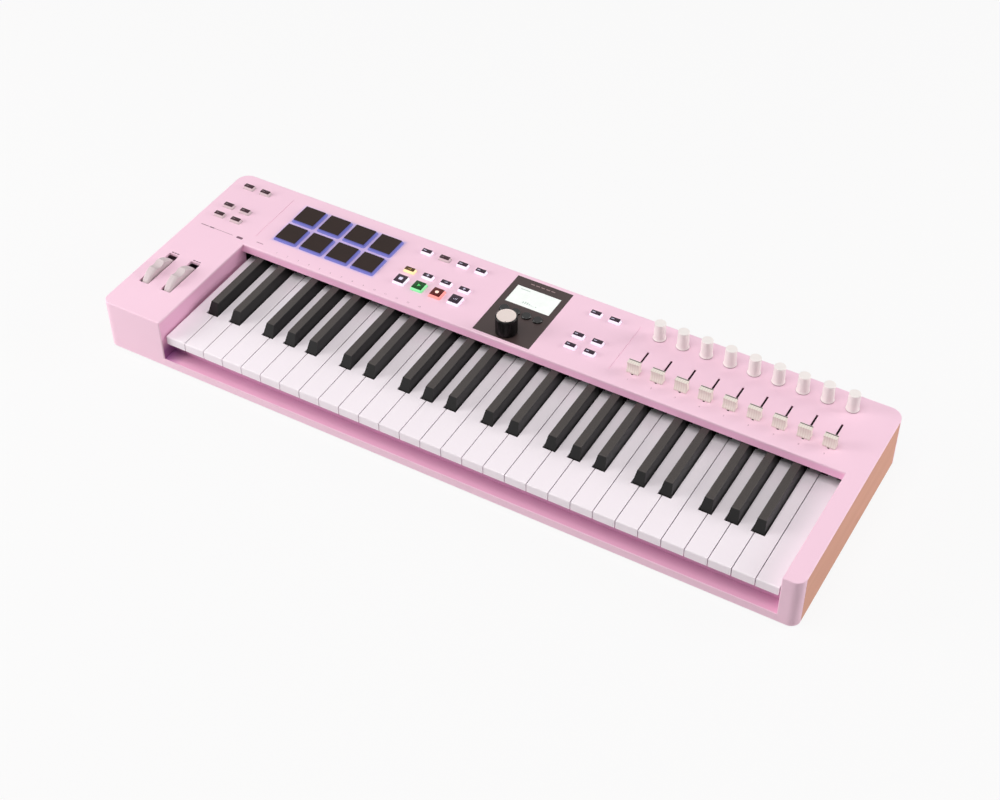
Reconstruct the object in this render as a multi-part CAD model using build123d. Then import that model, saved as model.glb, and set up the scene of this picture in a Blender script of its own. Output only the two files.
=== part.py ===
"""A 49-key desktop keyboard controller: keybed, wheels, pads, faders, knobs, display and case.

Units are millimetres. X runs along the keyboard, bass to treble. Y runs from the player to the
rear. Z is up, and Z = 0 is the underside of the rubber feet. X = 0 and Y = 0 are mid case.
"""
from build123d import *
import math
import os

# ---------------------------------------------------------------- driving dimensions
case_width = 779.0
case_depth = 251.5
case_height = 58.4
foot_height = 2.2
front_corner_radius = 10.0
rear_corner_radius = 14.0
wall = 3.0
top_wall = 3.0
edge_round = 0.9
well_edge_round = 1.2
fit_gap = 0.3
slip_gap = 0.6

side_panel_thickness = 3.0
side_panel_top_lip = 1.5
side_panel_chamfer = 0.6

key_pitch = 23.5
key_gap = 1.0
octave_count = 4
left_cheek_width = 73.3
cheek_key_gap = 1.7
right_key_gap = 2.4
key_front_setback = 6.2
key_front_height = 10.0
key_skirt = 1.7
key_lip_thickness = 2.4
key_plate = 2.7
key_edge_round = 1.2
key_top_below_panel = 21.6
key_tail_width = 9.0
key_tail_overhang = 5.0
black_key_width = 12.4
black_key_top_width = 8.8
black_key_height = 12.0
black_key_front_slope = 6.8
black_key_round = 0.9
black_key_setback = 51.3
black_key_root = 1.5
black_key_clearance = 0.9
black_key_wall = 2.2
black_key_front_wall = 6.0
key_press_angle = 3.1
contact_plunger_width = 3.0
guide_y = -15.0
guide_half_depth = 3.0
guide_width = 3.5
stop_y = -96.0
beam_half_depth = 4.0
strip_y = 4.0
strip_half_depth = 6.0
strip_thickness = 3.0
dome_half_depth = 3.0
dome_half_width = 2.5
spring_width = 3.0
spring_strip = 0.5
seat_gap = 0.1
black_offsets = {"c_sharp": -2.3, "d_sharp": 2.3, "f_sharp": -3.2, "g_sharp": 0.0, "a_sharp": 3.2}

well_depth = 147.1
fascia_drop = 8.8
fascia_lean = 1.5
rail_height = 8.8
rail_ledge_depth = 17.75
rail_back_wall_height = 7.5

pivot_behind_fascia = 44.65
pivot_radius = 3.0
pivot_clearance = 0.08
pivot_below_key_top = 6.0

panel_board_depth = 9.0
board_thickness = 1.6

knob_count = 9
knob_pitch = 25.82
knob_first_x = 136.4
knob_row_y = 104.8
knob_height = 20.5
knob_skirt_radius = 7.0
knob_body_radius = 6.2
knob_top_radius = 5.9
knob_skirt_height = 3.6
knob_lift = 0.4
knob_crown_round = 0.7
knob_rim_height = 0.5
shaft_radius = 3.0
shaft_clearance = 0.08

fader_travel = 28.0
fader_rest_y = 47.6
fader_slot_width = 2.2
fader_end_clearance = 2.2
fader_cap_width = 13.2
fader_cap_depth = 7.6
fader_cap_height = 12.4
fader_cap_foot = 1.6
fader_crest_depth = 6.4
fader_cap_waist = 5.0
fader_index_width = 0.8
fader_index_depth = 0.5
fader_index_shift = 2.2
fader_cap_lift = 0.5
fader_stem_width = 1.4
fader_stem_depth = 5.0
fader_body_width = 9.0

small_button = (13.2, 7.6)
large_button = (14.0, 14.4)
button_taper = 1.1
button_rise = 2.8
button_travel = 0.6
button_corner = 1.1
button_flange = 0.8
plunger_width = 3.6
button_flange_thickness = 1.0
switch_size = 6.0
switch_height = 3.4
encoder_size = 11.0
pad_sensor_size = 16.0
side_column_pitch = 21.5
centre_column_pitch = 22.0
top_row_y = 105.2
mid_row_y = 67.2
low_row_y = 49.8
left_cluster_x = -356.9
right_cluster_x = 75.2
centre_cluster_x = -104.4
mode_row_y = 71.0
transport_row_y = 52.9

pad_size = (25.2, 26.4)
pad_corner = 1.0
pad_rise = 3.5
pad_edge = 0.5
pad_travel = 0.6
pad_pitch = (32.45, 34.4)
pad_block_x = -230.3
pad_block_y = 76.0
pad_glow_width = 1.5
pad_glow_rise = 0.2
pad_guide_margin = 2.5
pad_side_gap = 0.3
pad_flange = 1.2
pad_flange_thickness = 1.0
light_guide_thickness = 1.9
rest_gap = 0.2

display_size = (65.4, 95.6)
display_centre = (-2.5, 73.15)
display_glass_thickness = 1.5
display_ledge = 3.0
screen_size = (51.4, 28.4)
screen_y = 93.8
screen_recess = 0.3
screen_gap = 0.2
screen_tray = (1.8, 3.8)
display_button_radius = 5.1
display_button_rise = 2.0
display_button_edge = 0.7
display_button_pitch = 13.0
display_button_y = 67.8
main_knob_y = 38.25
main_knob_radius = 11.4
main_knob_height = 21.0
main_knob_lift = 0.8
main_knob_grooves = 20
main_knob_groove = 0.45
main_knob_edge = 0.8
main_knob_recess = (10.2, 0.6)

wheel_radius = 27.5
wheel_rise = 9.5
wheel_width = 9.6
wheel_notch_radius = 9.5
wheel_notch_depth = 4.2
wheel_round = 3.0
wheel_slot = (12.4, 53.0)
wheel_slot_corner = 1.5
wheel_slot_y = -55.1
wheel_row_y = -57.5
pitch_wheel_x = -369.4
mod_wheel_x = -341.2
wheel_axle_radius = 3.0
wheel_axle_length = 3.4
wheel_bracket_thickness = 2.6
wheel_bracket_width = 16.0

groove_width = 0.8
groove_depth = 0.5
groove_ends = (39.0, 111.0)
groove_positions = (-312.3, 112.9)

board_post_radius = 3.0
merge = 0.5

foot_radius = 8.0
foot_recess = 0.8
foot_edge = 0.6
foot_inset = (60.0, 22.0)
screw_radius = 1.5
screw_head_radius = 2.9
screw_head_height = 1.6
screw_length = 12.0
screw_pilot_gap = 0.05
screw_head_recess = 0.2
rail_screw_inset = 9.5
rail_screw_cover = 1.2
boss_radius = 4.5
floor_thickness = 3.0
floor_rib_height = 3.2
floor_rib_thickness = 2.0

jack_radius = 3.25
jack_barrel_radius = 5.4
jack_depth = 16.0
jack_x = 262.0
din_radius = 7.5
din_wall = 1.5
din_depth = 9.0
din_core_radius = 4.6
din_x = 300.0
usb_size = (9.2, 3.5)
usb_x = 335.0
usb_depth = 8.0
usb_wall = 1.0
usb_tongue = (6.6, 0.7)
lock_slot = (7.0, 3.0)
lock_slot_x = 230.0
socket_height = 26.0
socket_block_depth = 14.0
socket_block_height = 19.0
din_pin_radius = 0.8

# ---------------------------------------------------------------- derived places
bottom_z = foot_height
top_z = bottom_z + case_height
front_y = -case_depth / 2
rear_y = case_depth / 2
left_x = -case_width / 2
right_x = case_width / 2
under_top_z = top_z - top_wall
board_top_z = under_top_z - panel_board_depth
board_low_z = board_top_z - board_thickness
shaft_low_z = board_top_z + 2.0
encoder_top_z = board_top_z + 6.0
floor_top_z = bottom_z + floor_thickness
screw_head_low_z = bottom_z + screw_head_recess
octave = key_pitch * 7
key_top_z = top_z - key_top_below_panel
key_low_z = key_top_z - key_front_height
keys_x0 = left_x + left_cheek_width + cheek_key_gap
keys_x1 = keys_x0 + octave_count * octave + key_pitch
well_x0 = keys_x0 - cheek_key_gap
well_x1 = keys_x1 + right_key_gap
fascia_y = front_y + well_depth
key_front_y = front_y + key_front_setback
black_front_y = key_front_y + black_key_setback
notch_y = black_front_y - 1.2
tail_start_y = fascia_y + 8.7
pivot_y = fascia_y + pivot_behind_fascia
pivot_z = key_top_z - pivot_below_key_top
tail_end_y = pivot_y + key_tail_overhang
key_swing = math.tan(math.radians(key_press_angle))
rail_top_z = bottom_z + rail_height
guide_low_z = under_top_z - seat_gap - light_guide_thickness
pad_low_z = guide_low_z - fit_gap - pad_flange_thickness
switch_top_z = board_top_z + switch_height
button_low_z = under_top_z - fit_gap - button_flange_thickness
ledge_back_y = front_y + rail_ledge_depth
frame_low_z = floor_top_z + floor_rib_height
frame_plate_z = frame_low_z + 2.0
side_inset = side_panel_thickness + wall

white_notes = ["c", "d", "e", "f", "g", "a", "b"]
black_after = {"c": "c_sharp", "d": "d_sharp", "f": "f_sharp", "g": "g_sharp", "a": "a_sharp"}
black_before = {"d": "c_sharp", "e": "d_sharp", "g": "f_sharp", "a": "g_sharp", "b": "a_sharp"}
parts = {}


def block(x0, x1, y0, y1, z0, z1):
    """A rectangular solid between two corners."""
    return Pos((x0 + x1) / 2, (y0 + y1) / 2, (z0 + z1) / 2) * Box(x1 - x0, y1 - y0, z1 - z0)


def rounded_block(x, y, width, depth, z0, z1, corner):
    """An upright block with rounded vertical corners."""
    return Pos(x, y, z0) * extrude(RectangleRounded(width, depth, corner), z1 - z0)


def rod_x(x0, x1, y, z, radius):
    """A round bar along X."""
    return Pos((x0 + x1) / 2, y, z) * Rot(0, 90, 0) * Cylinder(radius, x1 - x0)


def rod_y(x, y0, y1, z, radius):
    """A round bar along Y."""
    return Pos(x, (y0 + y1) / 2, z) * Rot(90, 0, 0) * Cylinder(radius, y1 - y0)


def rod_z(x, y, z0, z1, radius):
    """A round bar along Z."""
    return Pos(x, y, (z0 + z1) / 2) * Cylinder(radius, z1 - z0)


def profile_along_x(points, x0, x1):
    """A Y-Z outline carried along X."""
    wire = Polyline([Vector(x0, y, z) for y, z in points], close=True)
    return extrude(make_face(wire), amount=x1 - x0, dir=(1, 0, 0))


def case_plan(inset_x, inset_y, z0, z1):
    """A solid with the case's plan, set in from its sides."""
    inset = max(inset_x, inset_y)
    plan = Rectangle(case_width - 2 * inset_x, case_depth - 2 * inset_y)
    rows = plan.vertices().group_by(Axis.Y)
    plan = fillet(rows[0], front_corner_radius - min(inset, front_corner_radius - 1.5))
    rear = plan.vertices().group_by(Axis.Y)[-1]
    plan = fillet(rear, rear_corner_radius - min(inset, rear_corner_radius - 1.5))
    return Pos(0, 0, z0) * extrude(plan, z1 - z0)


# ---------------------------------------------------------------- where controls sit
def side_cluster(centre_x):
    """Two buttons over a block of four."""
    columns = (centre_x - side_column_pitch / 2, centre_x + side_column_pitch / 2)
    return [(x, y) for y in (top_row_y, mid_row_y, low_row_y) for x in columns]


def centre_row(y):
    """Four buttons in a row between pads and display."""
    return [(centre_cluster_x + (i - 1.5) * centre_column_pitch, y) for i in range(4)]


def pad_centres():
    """Rear row first, left to right."""
    rows = (pad_block_y + pad_pitch[1] / 2, pad_block_y - pad_pitch[1] / 2)
    return [(pad_block_x + (i - 1.5) * pad_pitch[0], y) for y in rows for i in range(4)]


def knob_xs():
    """The shared columns of the knobs and faders."""
    return [knob_first_x + i * knob_pitch for i in range(knob_count)]


def display_button_xs():
    """Columns of the four keys under the screen."""
    return [display_centre[0] + (i - 1.5) * display_button_pitch for i in range(4)]


small_places = side_cluster(left_cluster_x) + side_cluster(right_cluster_x)
small_places += centre_row(top_row_y) + centre_row(mode_row_y)
large_places = centre_row(transport_row_y)
fader_slot_length = fader_travel + fader_stem_depth + 2 * fader_end_clearance
fader_slot_y = fader_rest_y + fader_travel / 2
screw_places = [(x, rear_y - wall - boss_radius + 0.5) for x in (-330.0, -150.0, 50.0, 205.0)]
screw_places += [(left_x + side_inset + boss_radius, front_y + 14.0)]
screw_places += [(right_x - side_inset - boss_radius, front_y + 14.0)]
rail_screw_places = [(x, front_y + rail_screw_inset) for x in (-200.0, 26.0, 250.0)]
board_post_places = [(x, y) for x in (-304.0, -127.0, 40.0, 110.0, 371.0) for y in (31.0, 113.0)]


# ---------------------------------------------------------------- case
def make_top_case():
    """The moulded shell: panel, cheeks, front rail, fascia and outer skirt in one piece."""
    outer = case_plan(0, 0, bottom_z, top_z)
    outer = fillet(outer.faces().sort_by(Axis.Z)[-1].edges(), edge_round)
    inner = case_plan(side_inset, wall, bottom_z, under_top_z)
    shell = outer - inner
    for side in (-1, 1):
        x0, x1 = sorted((side * right_x, side * (right_x - side_panel_thickness - 0.1)))
        shell -= block(x0, x1, side_panel_y0(), side_panel_y1(), bottom_z - 1, top_z - side_panel_top_lip)
    inner_top = floor_top_z + fit_gap
    for x0 in (well_x0 - wall, well_x1):
        shell += block(x0, x0 + wall, front_y + wall, fascia_y + wall, inner_top, top_z - edge_round)
    shell -= block(well_x0, well_x1, front_y - 1, fascia_y, rail_top_z, top_z + 1)
    fascia_low_z = top_z - fascia_drop
    fascia = [(fascia_y, top_z - edge_round), (fascia_y, top_z - 2.5)]
    fascia += [(fascia_y - fascia_lean, fascia_low_z), (fascia_y + wall - fascia_lean, fascia_low_z)]
    fascia += [(fascia_y + wall, top_z - edge_round)]
    shell += profile_along_x(fascia, well_x0 - merge, well_x1 + merge)
    shell = fillet(well_rim_edges(shell), well_edge_round)
    ledge_low_z = rail_top_z - wall
    rail = [(front_y + merge, ledge_low_z), (front_y + merge, rail_top_z), (ledge_back_y, rail_top_z)]
    rail += [(ledge_back_y, rail_top_z + rail_back_wall_height)]
    rail += [(ledge_back_y + wall, rail_top_z + rail_back_wall_height), (ledge_back_y + wall, ledge_low_z)]
    shell += profile_along_x(rail, well_x0 - wall / 2, well_x1 + wall / 2)
    for x, y in screw_places:
        shell += rod_z(x, y, inner_top, under_top_z + merge, boss_radius)
    for x, y in rail_screw_places:
        shell += rod_z(x, y, inner_top, ledge_low_z + merge, boss_radius)
    for x, y in board_post_places:
        shell += rod_z(x, y, board_top_z, under_top_z + merge, board_post_radius)
    pilot_radius = screw_radius + screw_pilot_gap
    for x, y in screw_places:
        shell -= rod_z(x, y, bottom_z, bottom_z + screw_length + 1, pilot_radius)
    for x, y in rail_screw_places:
        shell -= rod_z(x, y, bottom_z, rail_top_z - rail_screw_cover, pilot_radius)
    return cut_rear_sockets(cut_panel_openings(shell))


def well_rim_edges(shell):
    """The top edges of the key well: both cheeks and the panel's front."""
    rim = []
    for edge in shell.edges().filter_by(GeomType.LINE):
        box = edge.bounding_box()
        is_level = min(box.min.Z, box.max.Z) > top_z - 0.01
        is_side = box.size.X < 0.01 and min(abs(box.min.X - well_x0), abs(box.min.X - well_x1)) < 0.01
        is_front = box.size.Y < 0.01 and abs(box.min.Y - fascia_y) < 0.01
        if is_level and (is_side or is_front):
            rim.append(edge)
    return rim


def side_panel_y0():
    """Where the side panels begin, behind the front corner."""
    return front_y + front_corner_radius


def side_panel_y1():
    """Where the side panels end, before the rear corner."""
    return rear_y - rear_corner_radius


def cut_panel_openings(shell):
    """Every hole in the top face."""
    low, high = under_top_z - 1, top_z + 1
    for x, y in small_places:
        shell -= block_hole(x, y, small_button, low, high)
    for x, y in large_places:
        shell -= block_hole(x, y, large_button, low, high)
    grow = 2 * (pad_side_gap + pad_glow_width + fit_gap)
    for x, y in pad_centres():
        shell -= pad_outline_block(x, y, grow, low, high)
    for x in knob_xs():
        shell -= rod_z(x, knob_row_y, low, high, shaft_radius + slip_gap)
        slot = Rectangle(fader_slot_width, fader_slot_length)
        shell -= Pos(x, fader_slot_y, low) * extrude(slot, high - low)
    for x in (pitch_wheel_x, mod_wheel_x):
        shell -= rounded_block(x, wheel_slot_y, wheel_slot[0], wheel_slot[1], low, high, wheel_slot_corner)
    shell -= display_block(0, top_z - display_glass_thickness, high)
    shell -= display_block(display_ledge, low, high)
    for x in groove_positions:
        half = groove_width / 2
        shell -= block(x - half, x + half, groove_ends[0], groove_ends[1], top_z - groove_depth, high)
    return shell


def block_hole(x, y, size, low, high):
    """The hole that a button rises through."""
    grow = 2 * fit_gap
    return rounded_block(x, y, size[0] + grow, size[1] + grow, low, high, button_corner + fit_gap)


def display_block(inset, z0, z1):
    """A block with the display's plan, set in from its edges."""
    x, y = display_centre
    half_w, half_d = display_size[0] / 2 - inset, display_size[1] / 2 - inset
    return block(x - half_w, x + half_w, y - half_d, y + half_d, z0, z1)


def cut_rear_sockets(shell):
    """Holes through the rear wall for the sockets."""
    y0, y1 = rear_y - wall - 1, rear_y + 1
    shell -= rod_y(jack_x, y0, y1, socket_height, jack_barrel_radius + fit_gap)
    shell -= rod_y(din_x, y0, y1, socket_height, din_radius + din_wall + fit_gap)
    half_w, half_h = usb_size[0] / 2 + usb_wall + fit_gap, usb_size[1] / 2 + usb_wall + fit_gap
    shell -= block(usb_x - half_w, usb_x + half_w, y0, y1, socket_height - half_h, socket_height + half_h)
    half_w, half_h = lock_slot[0] / 2, lock_slot[1] / 2
    z0, z1 = socket_height - half_h, socket_height + half_h
    return shell - block(lock_slot_x - half_w, lock_slot_x + half_w, y0, y1, z0, z1)


def make_bottom_case():
    """The floor: a ribbed plate inside the skirt, with the wheel brackets standing on it."""
    plate = case_plan(side_inset + fit_gap, wall + fit_gap, bottom_z, floor_top_z)
    for y in (-96.0, -40.0, 14.0, 62.0):
        half = floor_rib_thickness / 2
        plate += block(keys_x0, keys_x1 - 2, y - half, y + half, floor_top_z - merge, frame_low_z)
    for x, y in foot_places():
        plate -= rod_z(x, y, bottom_z - 1, bottom_z + foot_recess, foot_radius + 0.15)
    for x, y in screw_places + rail_screw_places:
        plate -= rod_z(x, y, bottom_z - 1, floor_top_z + 1, screw_radius + fit_gap)
        plate -= rod_z(x, y, bottom_z - 1, screw_head_low_z + screw_head_height, screw_head_radius + fit_gap)
    for x in (pitch_wheel_x, mod_wheel_x):
        for side in (-1, 1):
            plate += wheel_bracket(x + side * (wheel_width / 2 + fit_gap + wheel_bracket_thickness / 2))
    return plate


def wheel_axis_z():
    """Height of the wheels' axles."""
    return top_z + wheel_rise - wheel_radius


def wheel_bracket(x):
    """An upright that carries one end of a wheel's axle."""
    half, half_t = wheel_bracket_width / 2, wheel_bracket_thickness / 2
    top = wheel_axis_z() + half_t
    upright = block(x - half_t, x + half_t, wheel_row_y - half, wheel_row_y + half, floor_top_z - merge, top)
    upright += rod_x(x - half_t, x + half_t, wheel_row_y, wheel_axis_z(), half)
    seat_radius = wheel_axle_radius + shaft_clearance
    return upright - rod_x(x - half_t - 1, x + half_t + 1, wheel_row_y, wheel_axis_z(), seat_radius)


def foot_places():
    """Three feet along the front and three along the rear."""
    xs = (left_x + foot_inset[0], 0.0, right_x - foot_inset[0])
    return [(x, side * (rear_y - foot_inset[1])) for side in (-1, 1) for x in xs]


def make_side_panel(side):
    """A flush end panel, let into the side of the case under its top edge."""
    x0, x1 = sorted((side * right_x, side * (right_x - side_panel_thickness)))
    z1 = top_z - side_panel_top_lip - 0.1
    panel = block(x0, x1, side_panel_y0() + 0.1, side_panel_y1() - 0.1, bottom_z, z1)
    outer = panel.faces().sort_by(Axis.X)[-1 if side > 0 else 0]
    return chamfer(outer.edges(), side_panel_chamfer)


def make_rubber_feet():
    """Six round feet with softened lower edges."""
    feet = []
    for x, y in foot_places():
        foot = rod_z(x, y, 0, bottom_z + foot_recess, foot_radius)
        feet.append(chamfer(foot.edges().sort_by(Axis.Z)[0], foot_edge))
    return feet


def make_case_screws():
    """Pan-head screws that hold the floor to the shell."""
    screws = []
    for x, y in screw_places + rail_screw_places:
        length = screw_length if (x, y) in screw_places else rail_height - 2 * rail_screw_cover
        head_top = screw_head_low_z + screw_head_height
        screw = rod_z(x, y, screw_head_low_z, head_top, screw_head_radius)
        screw += rod_z(x, y, head_top - 0.1, bottom_z + length, screw_radius)
        screws.append(screw)
    return screws


# ---------------------------------------------------------------- keys
def black_centre(note):
    """Centre of a black key within its octave."""
    boundary = {"c_sharp": 1, "d_sharp": 2, "f_sharp": 4, "g_sharp": 5, "a_sharp": 6}[note]
    return boundary * key_pitch + black_offsets[note]


def tail_span(note, is_top=False):
    """Left and right edges of a key behind the black keys' fronts, within its octave."""
    half = black_key_width / 2
    if note in black_offsets:
        return black_centre(note) - half, black_centre(note) + half
    index = white_notes.index(note)
    x0 = index * key_pitch + key_gap / 2
    x1 = (index + 1) * key_pitch - key_gap / 2
    if note in black_before and not is_top:
        x0 = black_centre(black_before[note]) + half + black_key_clearance
    if note in black_after and not is_top:
        x1 = black_centre(black_after[note]) - half - black_key_clearance
    return x0, x1


def saddle(x0, x1):
    """The half-round seat in a key's tail that rests over the pivot rail."""
    radius = pivot_radius + pivot_clearance
    seat = rod_x(x0 - 1, x1 + 1, pivot_y, pivot_z, radius)
    return seat + block(x0 - 1, x1 + 1, pivot_y - radius, pivot_y + radius, key_low_z - 1, pivot_z)


def white_outline(note, is_top, wall_inset, last_y):
    """Plan of a white key: wide head, waist between black keys, narrow tail."""
    index = white_notes.index(note)
    head0 = index * key_pitch + key_gap / 2 + wall_inset
    head1 = (index + 1) * key_pitch - key_gap / 2 - wall_inset
    waist0, waist1 = tail_span(note, is_top)
    waist0, waist1 = waist0 + wall_inset, waist1 - wall_inset
    front = key_front_y + (key_lip_thickness if wall_inset else 0)
    step = notch_y - wall_inset
    points = [(head0, front), (head1, front)]
    if waist1 < head1:
        points += [(head1, step), (waist1, step)]
    points += [(waist1, last_y), (waist0, last_y)]
    if waist0 > head0:
        points += [(waist0, step), (head0, step)]
    return make_face(Polyline([Vector(x, y, key_low_z) for x, y in points], close=True))


def contact_plunger(centre, top):
    """The post inside a key that presses its contact dome."""
    half = contact_plunger_width / 2
    return block(centre - half, centre + half, strip_y - half, strip_y + half, key_low_z, top)


def make_white_key(note, is_top=False):
    """One white key, hollow below, with a rounded front lip."""
    key = extrude(white_outline(note, is_top, 0, tail_start_y), key_front_height, dir=(0, 0, 1))
    front_edge = key.edges().filter_by(Axis.X).group_by(Axis.Z)[-1].sort_by(Axis.Y)[0]
    key = fillet(front_edge, key_edge_round)
    hollow = white_outline(note, is_top, key_skirt, tail_start_y - 3)
    key -= extrude(hollow, key_front_height - key_plate, dir=(0, 0, 1))
    waist0, waist1 = tail_span(note, is_top)
    centre = (waist0 + waist1) / 2
    x0, x1 = centre - key_tail_width / 2, centre + key_tail_width / 2
    key += block(x0, x1, tail_start_y - merge, tail_end_y, key_low_z, key_top_z)
    key += contact_plunger(centre, key_top_z - key_plate + merge)
    return key - saddle(x0, x1)


def level_face(x0, x1, y0, y1, z):
    """A level rectangle between two corners."""
    return Pos((x0 + x1) / 2, (y0 + y1) / 2, z) * Rectangle(x1 - x0, y1 - y0)


def make_black_key(note):
    """One black key: tapered sides and a raked front on a straight root."""
    x0, x1 = tail_span(note)
    centre = (x0 + x1) / 2
    half = black_key_top_width / 2
    root_z = key_top_z - black_key_root
    crown_z = key_top_z + black_key_height
    cap_rear_y = fascia_y + 3.0
    crown_front_y = black_front_y + black_key_front_slope
    foot = level_face(x0, x1, black_front_y, cap_rear_y, root_z)
    crown = level_face(centre - half, centre + half, crown_front_y, cap_rear_y, crown_z)
    cap = loft([foot.face(), crown.face()])
    cap = fillet(cap.faces().sort_by(Axis.Z)[-1].edges(), black_key_round)
    key = block(x0, x1, black_front_y, tail_start_y, key_low_z, root_z) + cap
    pocket_top = key_top_z + black_key_height / 2
    pocket_y0, pocket_y1 = black_front_y + black_key_front_wall, fascia_y - 3.0
    key -= block(x0 + black_key_wall, x1 - black_key_wall, pocket_y0, pocket_y1, key_low_z - 1, pocket_top)
    x0, x1 = centre - key_tail_width / 2, centre + key_tail_width / 2
    key += block(x0, x1, tail_start_y - merge, tail_end_y, key_low_z, key_top_z)
    key += contact_plunger(centre, pocket_top + merge)
    return key - saddle(x0, x1)


def octave_starts():
    """Where each octave begins."""
    return [keys_x0 + octave * i for i in range(octave_count)]


def make_key_group(note):
    """Every key of one note name."""
    if note in black_offsets:
        key = make_black_key(note)
    else:
        key = make_white_key(note)
    keys = [Pos(x, 0, 0) * key for x in octave_starts()]
    if note == "c":
        keys.append(Pos(keys_x0 + octave_count * octave, 0, 0) * make_white_key("c", is_top=True))
    return keys


def key_centres():
    """Centre of every key's tail, bass to treble."""
    notes = sorted(list(white_notes) + list(black_offsets), key=lambda n: sum(tail_span(n)))
    centres = [x + sum(tail_span(n)) / 2 for x in octave_starts() for n in notes]
    centres.append(keys_x0 + octave_count * octave + sum(tail_span("c", True)) / 2)
    return centres


# ---------------------------------------------------------------- keybed
def make_keybed_frame():
    """The chassis under the keys: stop beam, guide posts and the moulded pivot rail."""
    x0, x1 = keys_x0 + 0.5, keys_x1 - 0.5
    frame = block(x0, x1, stop_y - beam_half_depth - 1, pivot_y + 8, frame_low_z, frame_plate_z)
    beam_low_z = frame_plate_z - merge
    stop_top = pressed_z(key_low_z, stop_y - beam_half_depth) - 0.5
    frame += block(x0, x1, stop_y - beam_half_depth, stop_y + beam_half_depth, beam_low_z, stop_top)
    guide_base = key_low_z - 10
    frame += block(x0, x1, guide_y - beam_half_depth, guide_y + beam_half_depth, beam_low_z, guide_base)
    guide_top = pressed_z(key_top_z - key_plate, guide_y - guide_half_depth) - 0.4
    half = guide_width / 2
    for x in key_centres():
        y0, y1 = guide_y - guide_half_depth, guide_y + guide_half_depth
        frame += block(x - half, x + half, y0, y1, guide_base - merge, guide_top)
    frame += rod_x(x0, x1, pivot_y, pivot_z, pivot_radius)
    for x in pivot_support_xs():
        frame += block(x - 1.0, x + 1.0, pivot_y - 6, pivot_y + 6, beam_low_z, pivot_z + pivot_radius)
    return frame


def pressed_z(z, y):
    """Height that a key's point at this place comes down to when the key is pressed."""
    return z - (pivot_y - y) * key_swing


def pivot_support_xs():
    """Uprights stand between tails, twice in each octave, and at both ends."""
    xs = [keys_x0 + 1.5, keys_x1 - 1.5]
    middle = (tail_span("e")[1] + tail_span("f")[0]) / 2
    for start in octave_starts():
        xs.append(start + middle)
        xs.append(start + octave)
    return xs


def make_key_springs():
    """One leaf spring per key, standing on the chassis just before the pivot."""
    foot_y, tip_y = pivot_y - 26, pivot_y - 10
    low = frame_plate_z + seat_gap
    tip_z = key_low_z - 0.8
    outline = [(foot_y - 6, low), (foot_y - 6, low + spring_strip), (foot_y, low + spring_strip)]
    outline += [(tip_y - 3, tip_z), (tip_y, tip_z), (tip_y, tip_z - spring_strip)]
    outline += [(tip_y - 2.6, tip_z - spring_strip), (foot_y + 0.4, low)]
    half = spring_width / 2
    return [profile_along_x(outline, x - half, x + half) for x in key_centres()]


def make_key_contact_strip():
    """The silicone strip with one contact dome per key."""
    low = frame_plate_z + seat_gap
    top = low + strip_thickness
    strip = block(keys_x0 + 1, keys_x1 - 1, strip_y - strip_half_depth, strip_y + strip_half_depth, low, top)
    y0, y1 = strip_y - dome_half_depth, strip_y + dome_half_depth
    dome_top = pressed_z(key_low_z, y0) - fit_gap
    for x in key_centres():
        strip += block(x - dome_half_width, x + dome_half_width, y0, y1, top - merge, dome_top)
    return strip


# ---------------------------------------------------------------- controls
def knob_outline(base, waist, crown):
    """Half section of a knob: the skirt flares in a curve below a slightly tapered barrel."""
    rim = Vector(knob_skirt_radius, 0, base + knob_rim_height)
    foot = Vector(knob_body_radius, 0, waist)
    shoulder = Vector(knob_top_radius, 0, crown - knob_crown_round)
    crest = Vector(knob_top_radius - knob_crown_round, 0, crown)
    edges = [Line((0, 0, base), (knob_skirt_radius, 0, base)), Line((knob_skirt_radius, 0, base), rim)]
    edges.append(TangentArc(foot, rim, tangent=foot - shoulder))
    edges.append(Line(foot, shoulder))
    edges.append(TangentArc(shoulder, crest, tangent=shoulder - foot))
    edges.append(Line(crest, (0, 0, crown)))
    edges.append(Line((0, 0, crown), (0, 0, base)))
    return make_face(Curve() + edges)


def make_knob(x):
    """An endless rotary knob: flared skirt, smooth barrel and its shaft."""
    base = top_z + knob_lift
    knob = revolve(knob_outline(base, base + knob_skirt_height, top_z + knob_height), Axis.Z)
    return Pos(x, knob_row_y, 0) * knob + rod_z(x, knob_row_y, shaft_low_z, base + merge, shaft_radius)


def make_fader(x):
    """A fader cap with finger scoops front and rear, and its stem through the slot."""
    z0 = top_z + fader_cap_lift
    z1 = z0 + fader_cap_height
    foot_z = z0 + fader_cap_foot
    mid_z = (foot_z + z1) / 2
    edges = []
    for half, z in ((fader_cap_depth / 2, z0), (fader_crest_depth / 2, z1)):
        edges.append(Line((x, fader_rest_y - half, z), (x, fader_rest_y + half, z)))
    for side in (-1, 1):
        foot = Vector(x, fader_rest_y + side * fader_cap_depth / 2, foot_z)
        waist = Vector(x, fader_rest_y + side * fader_cap_waist / 2, mid_z)
        crest = Vector(x, fader_rest_y + side * fader_crest_depth / 2, z1)
        edges.append(Line((foot.X, foot.Y, z0), foot))
        edges.append(ThreePointArc(foot, waist, crest))
    cap = extrude(make_face(Curve() + edges), amount=fader_cap_width / 2, dir=(1, 0, 0), both=True)
    index_y0 = fader_rest_y + fader_index_shift - fader_index_width / 2
    index_y1 = index_y0 + fader_index_width
    reach = fader_cap_width
    cap -= block(x - reach, x + reach, index_y0, index_y1, z1 - fader_index_depth, z1 + 1)
    half_w, half_d = fader_stem_width / 2, fader_stem_depth / 2
    stem_y0, stem_y1 = fader_rest_y - half_d, fader_rest_y + half_d
    return cap + block(x - half_w, x + half_w, stem_y0, stem_y1, board_top_z + 3, z0 + merge)


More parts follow.
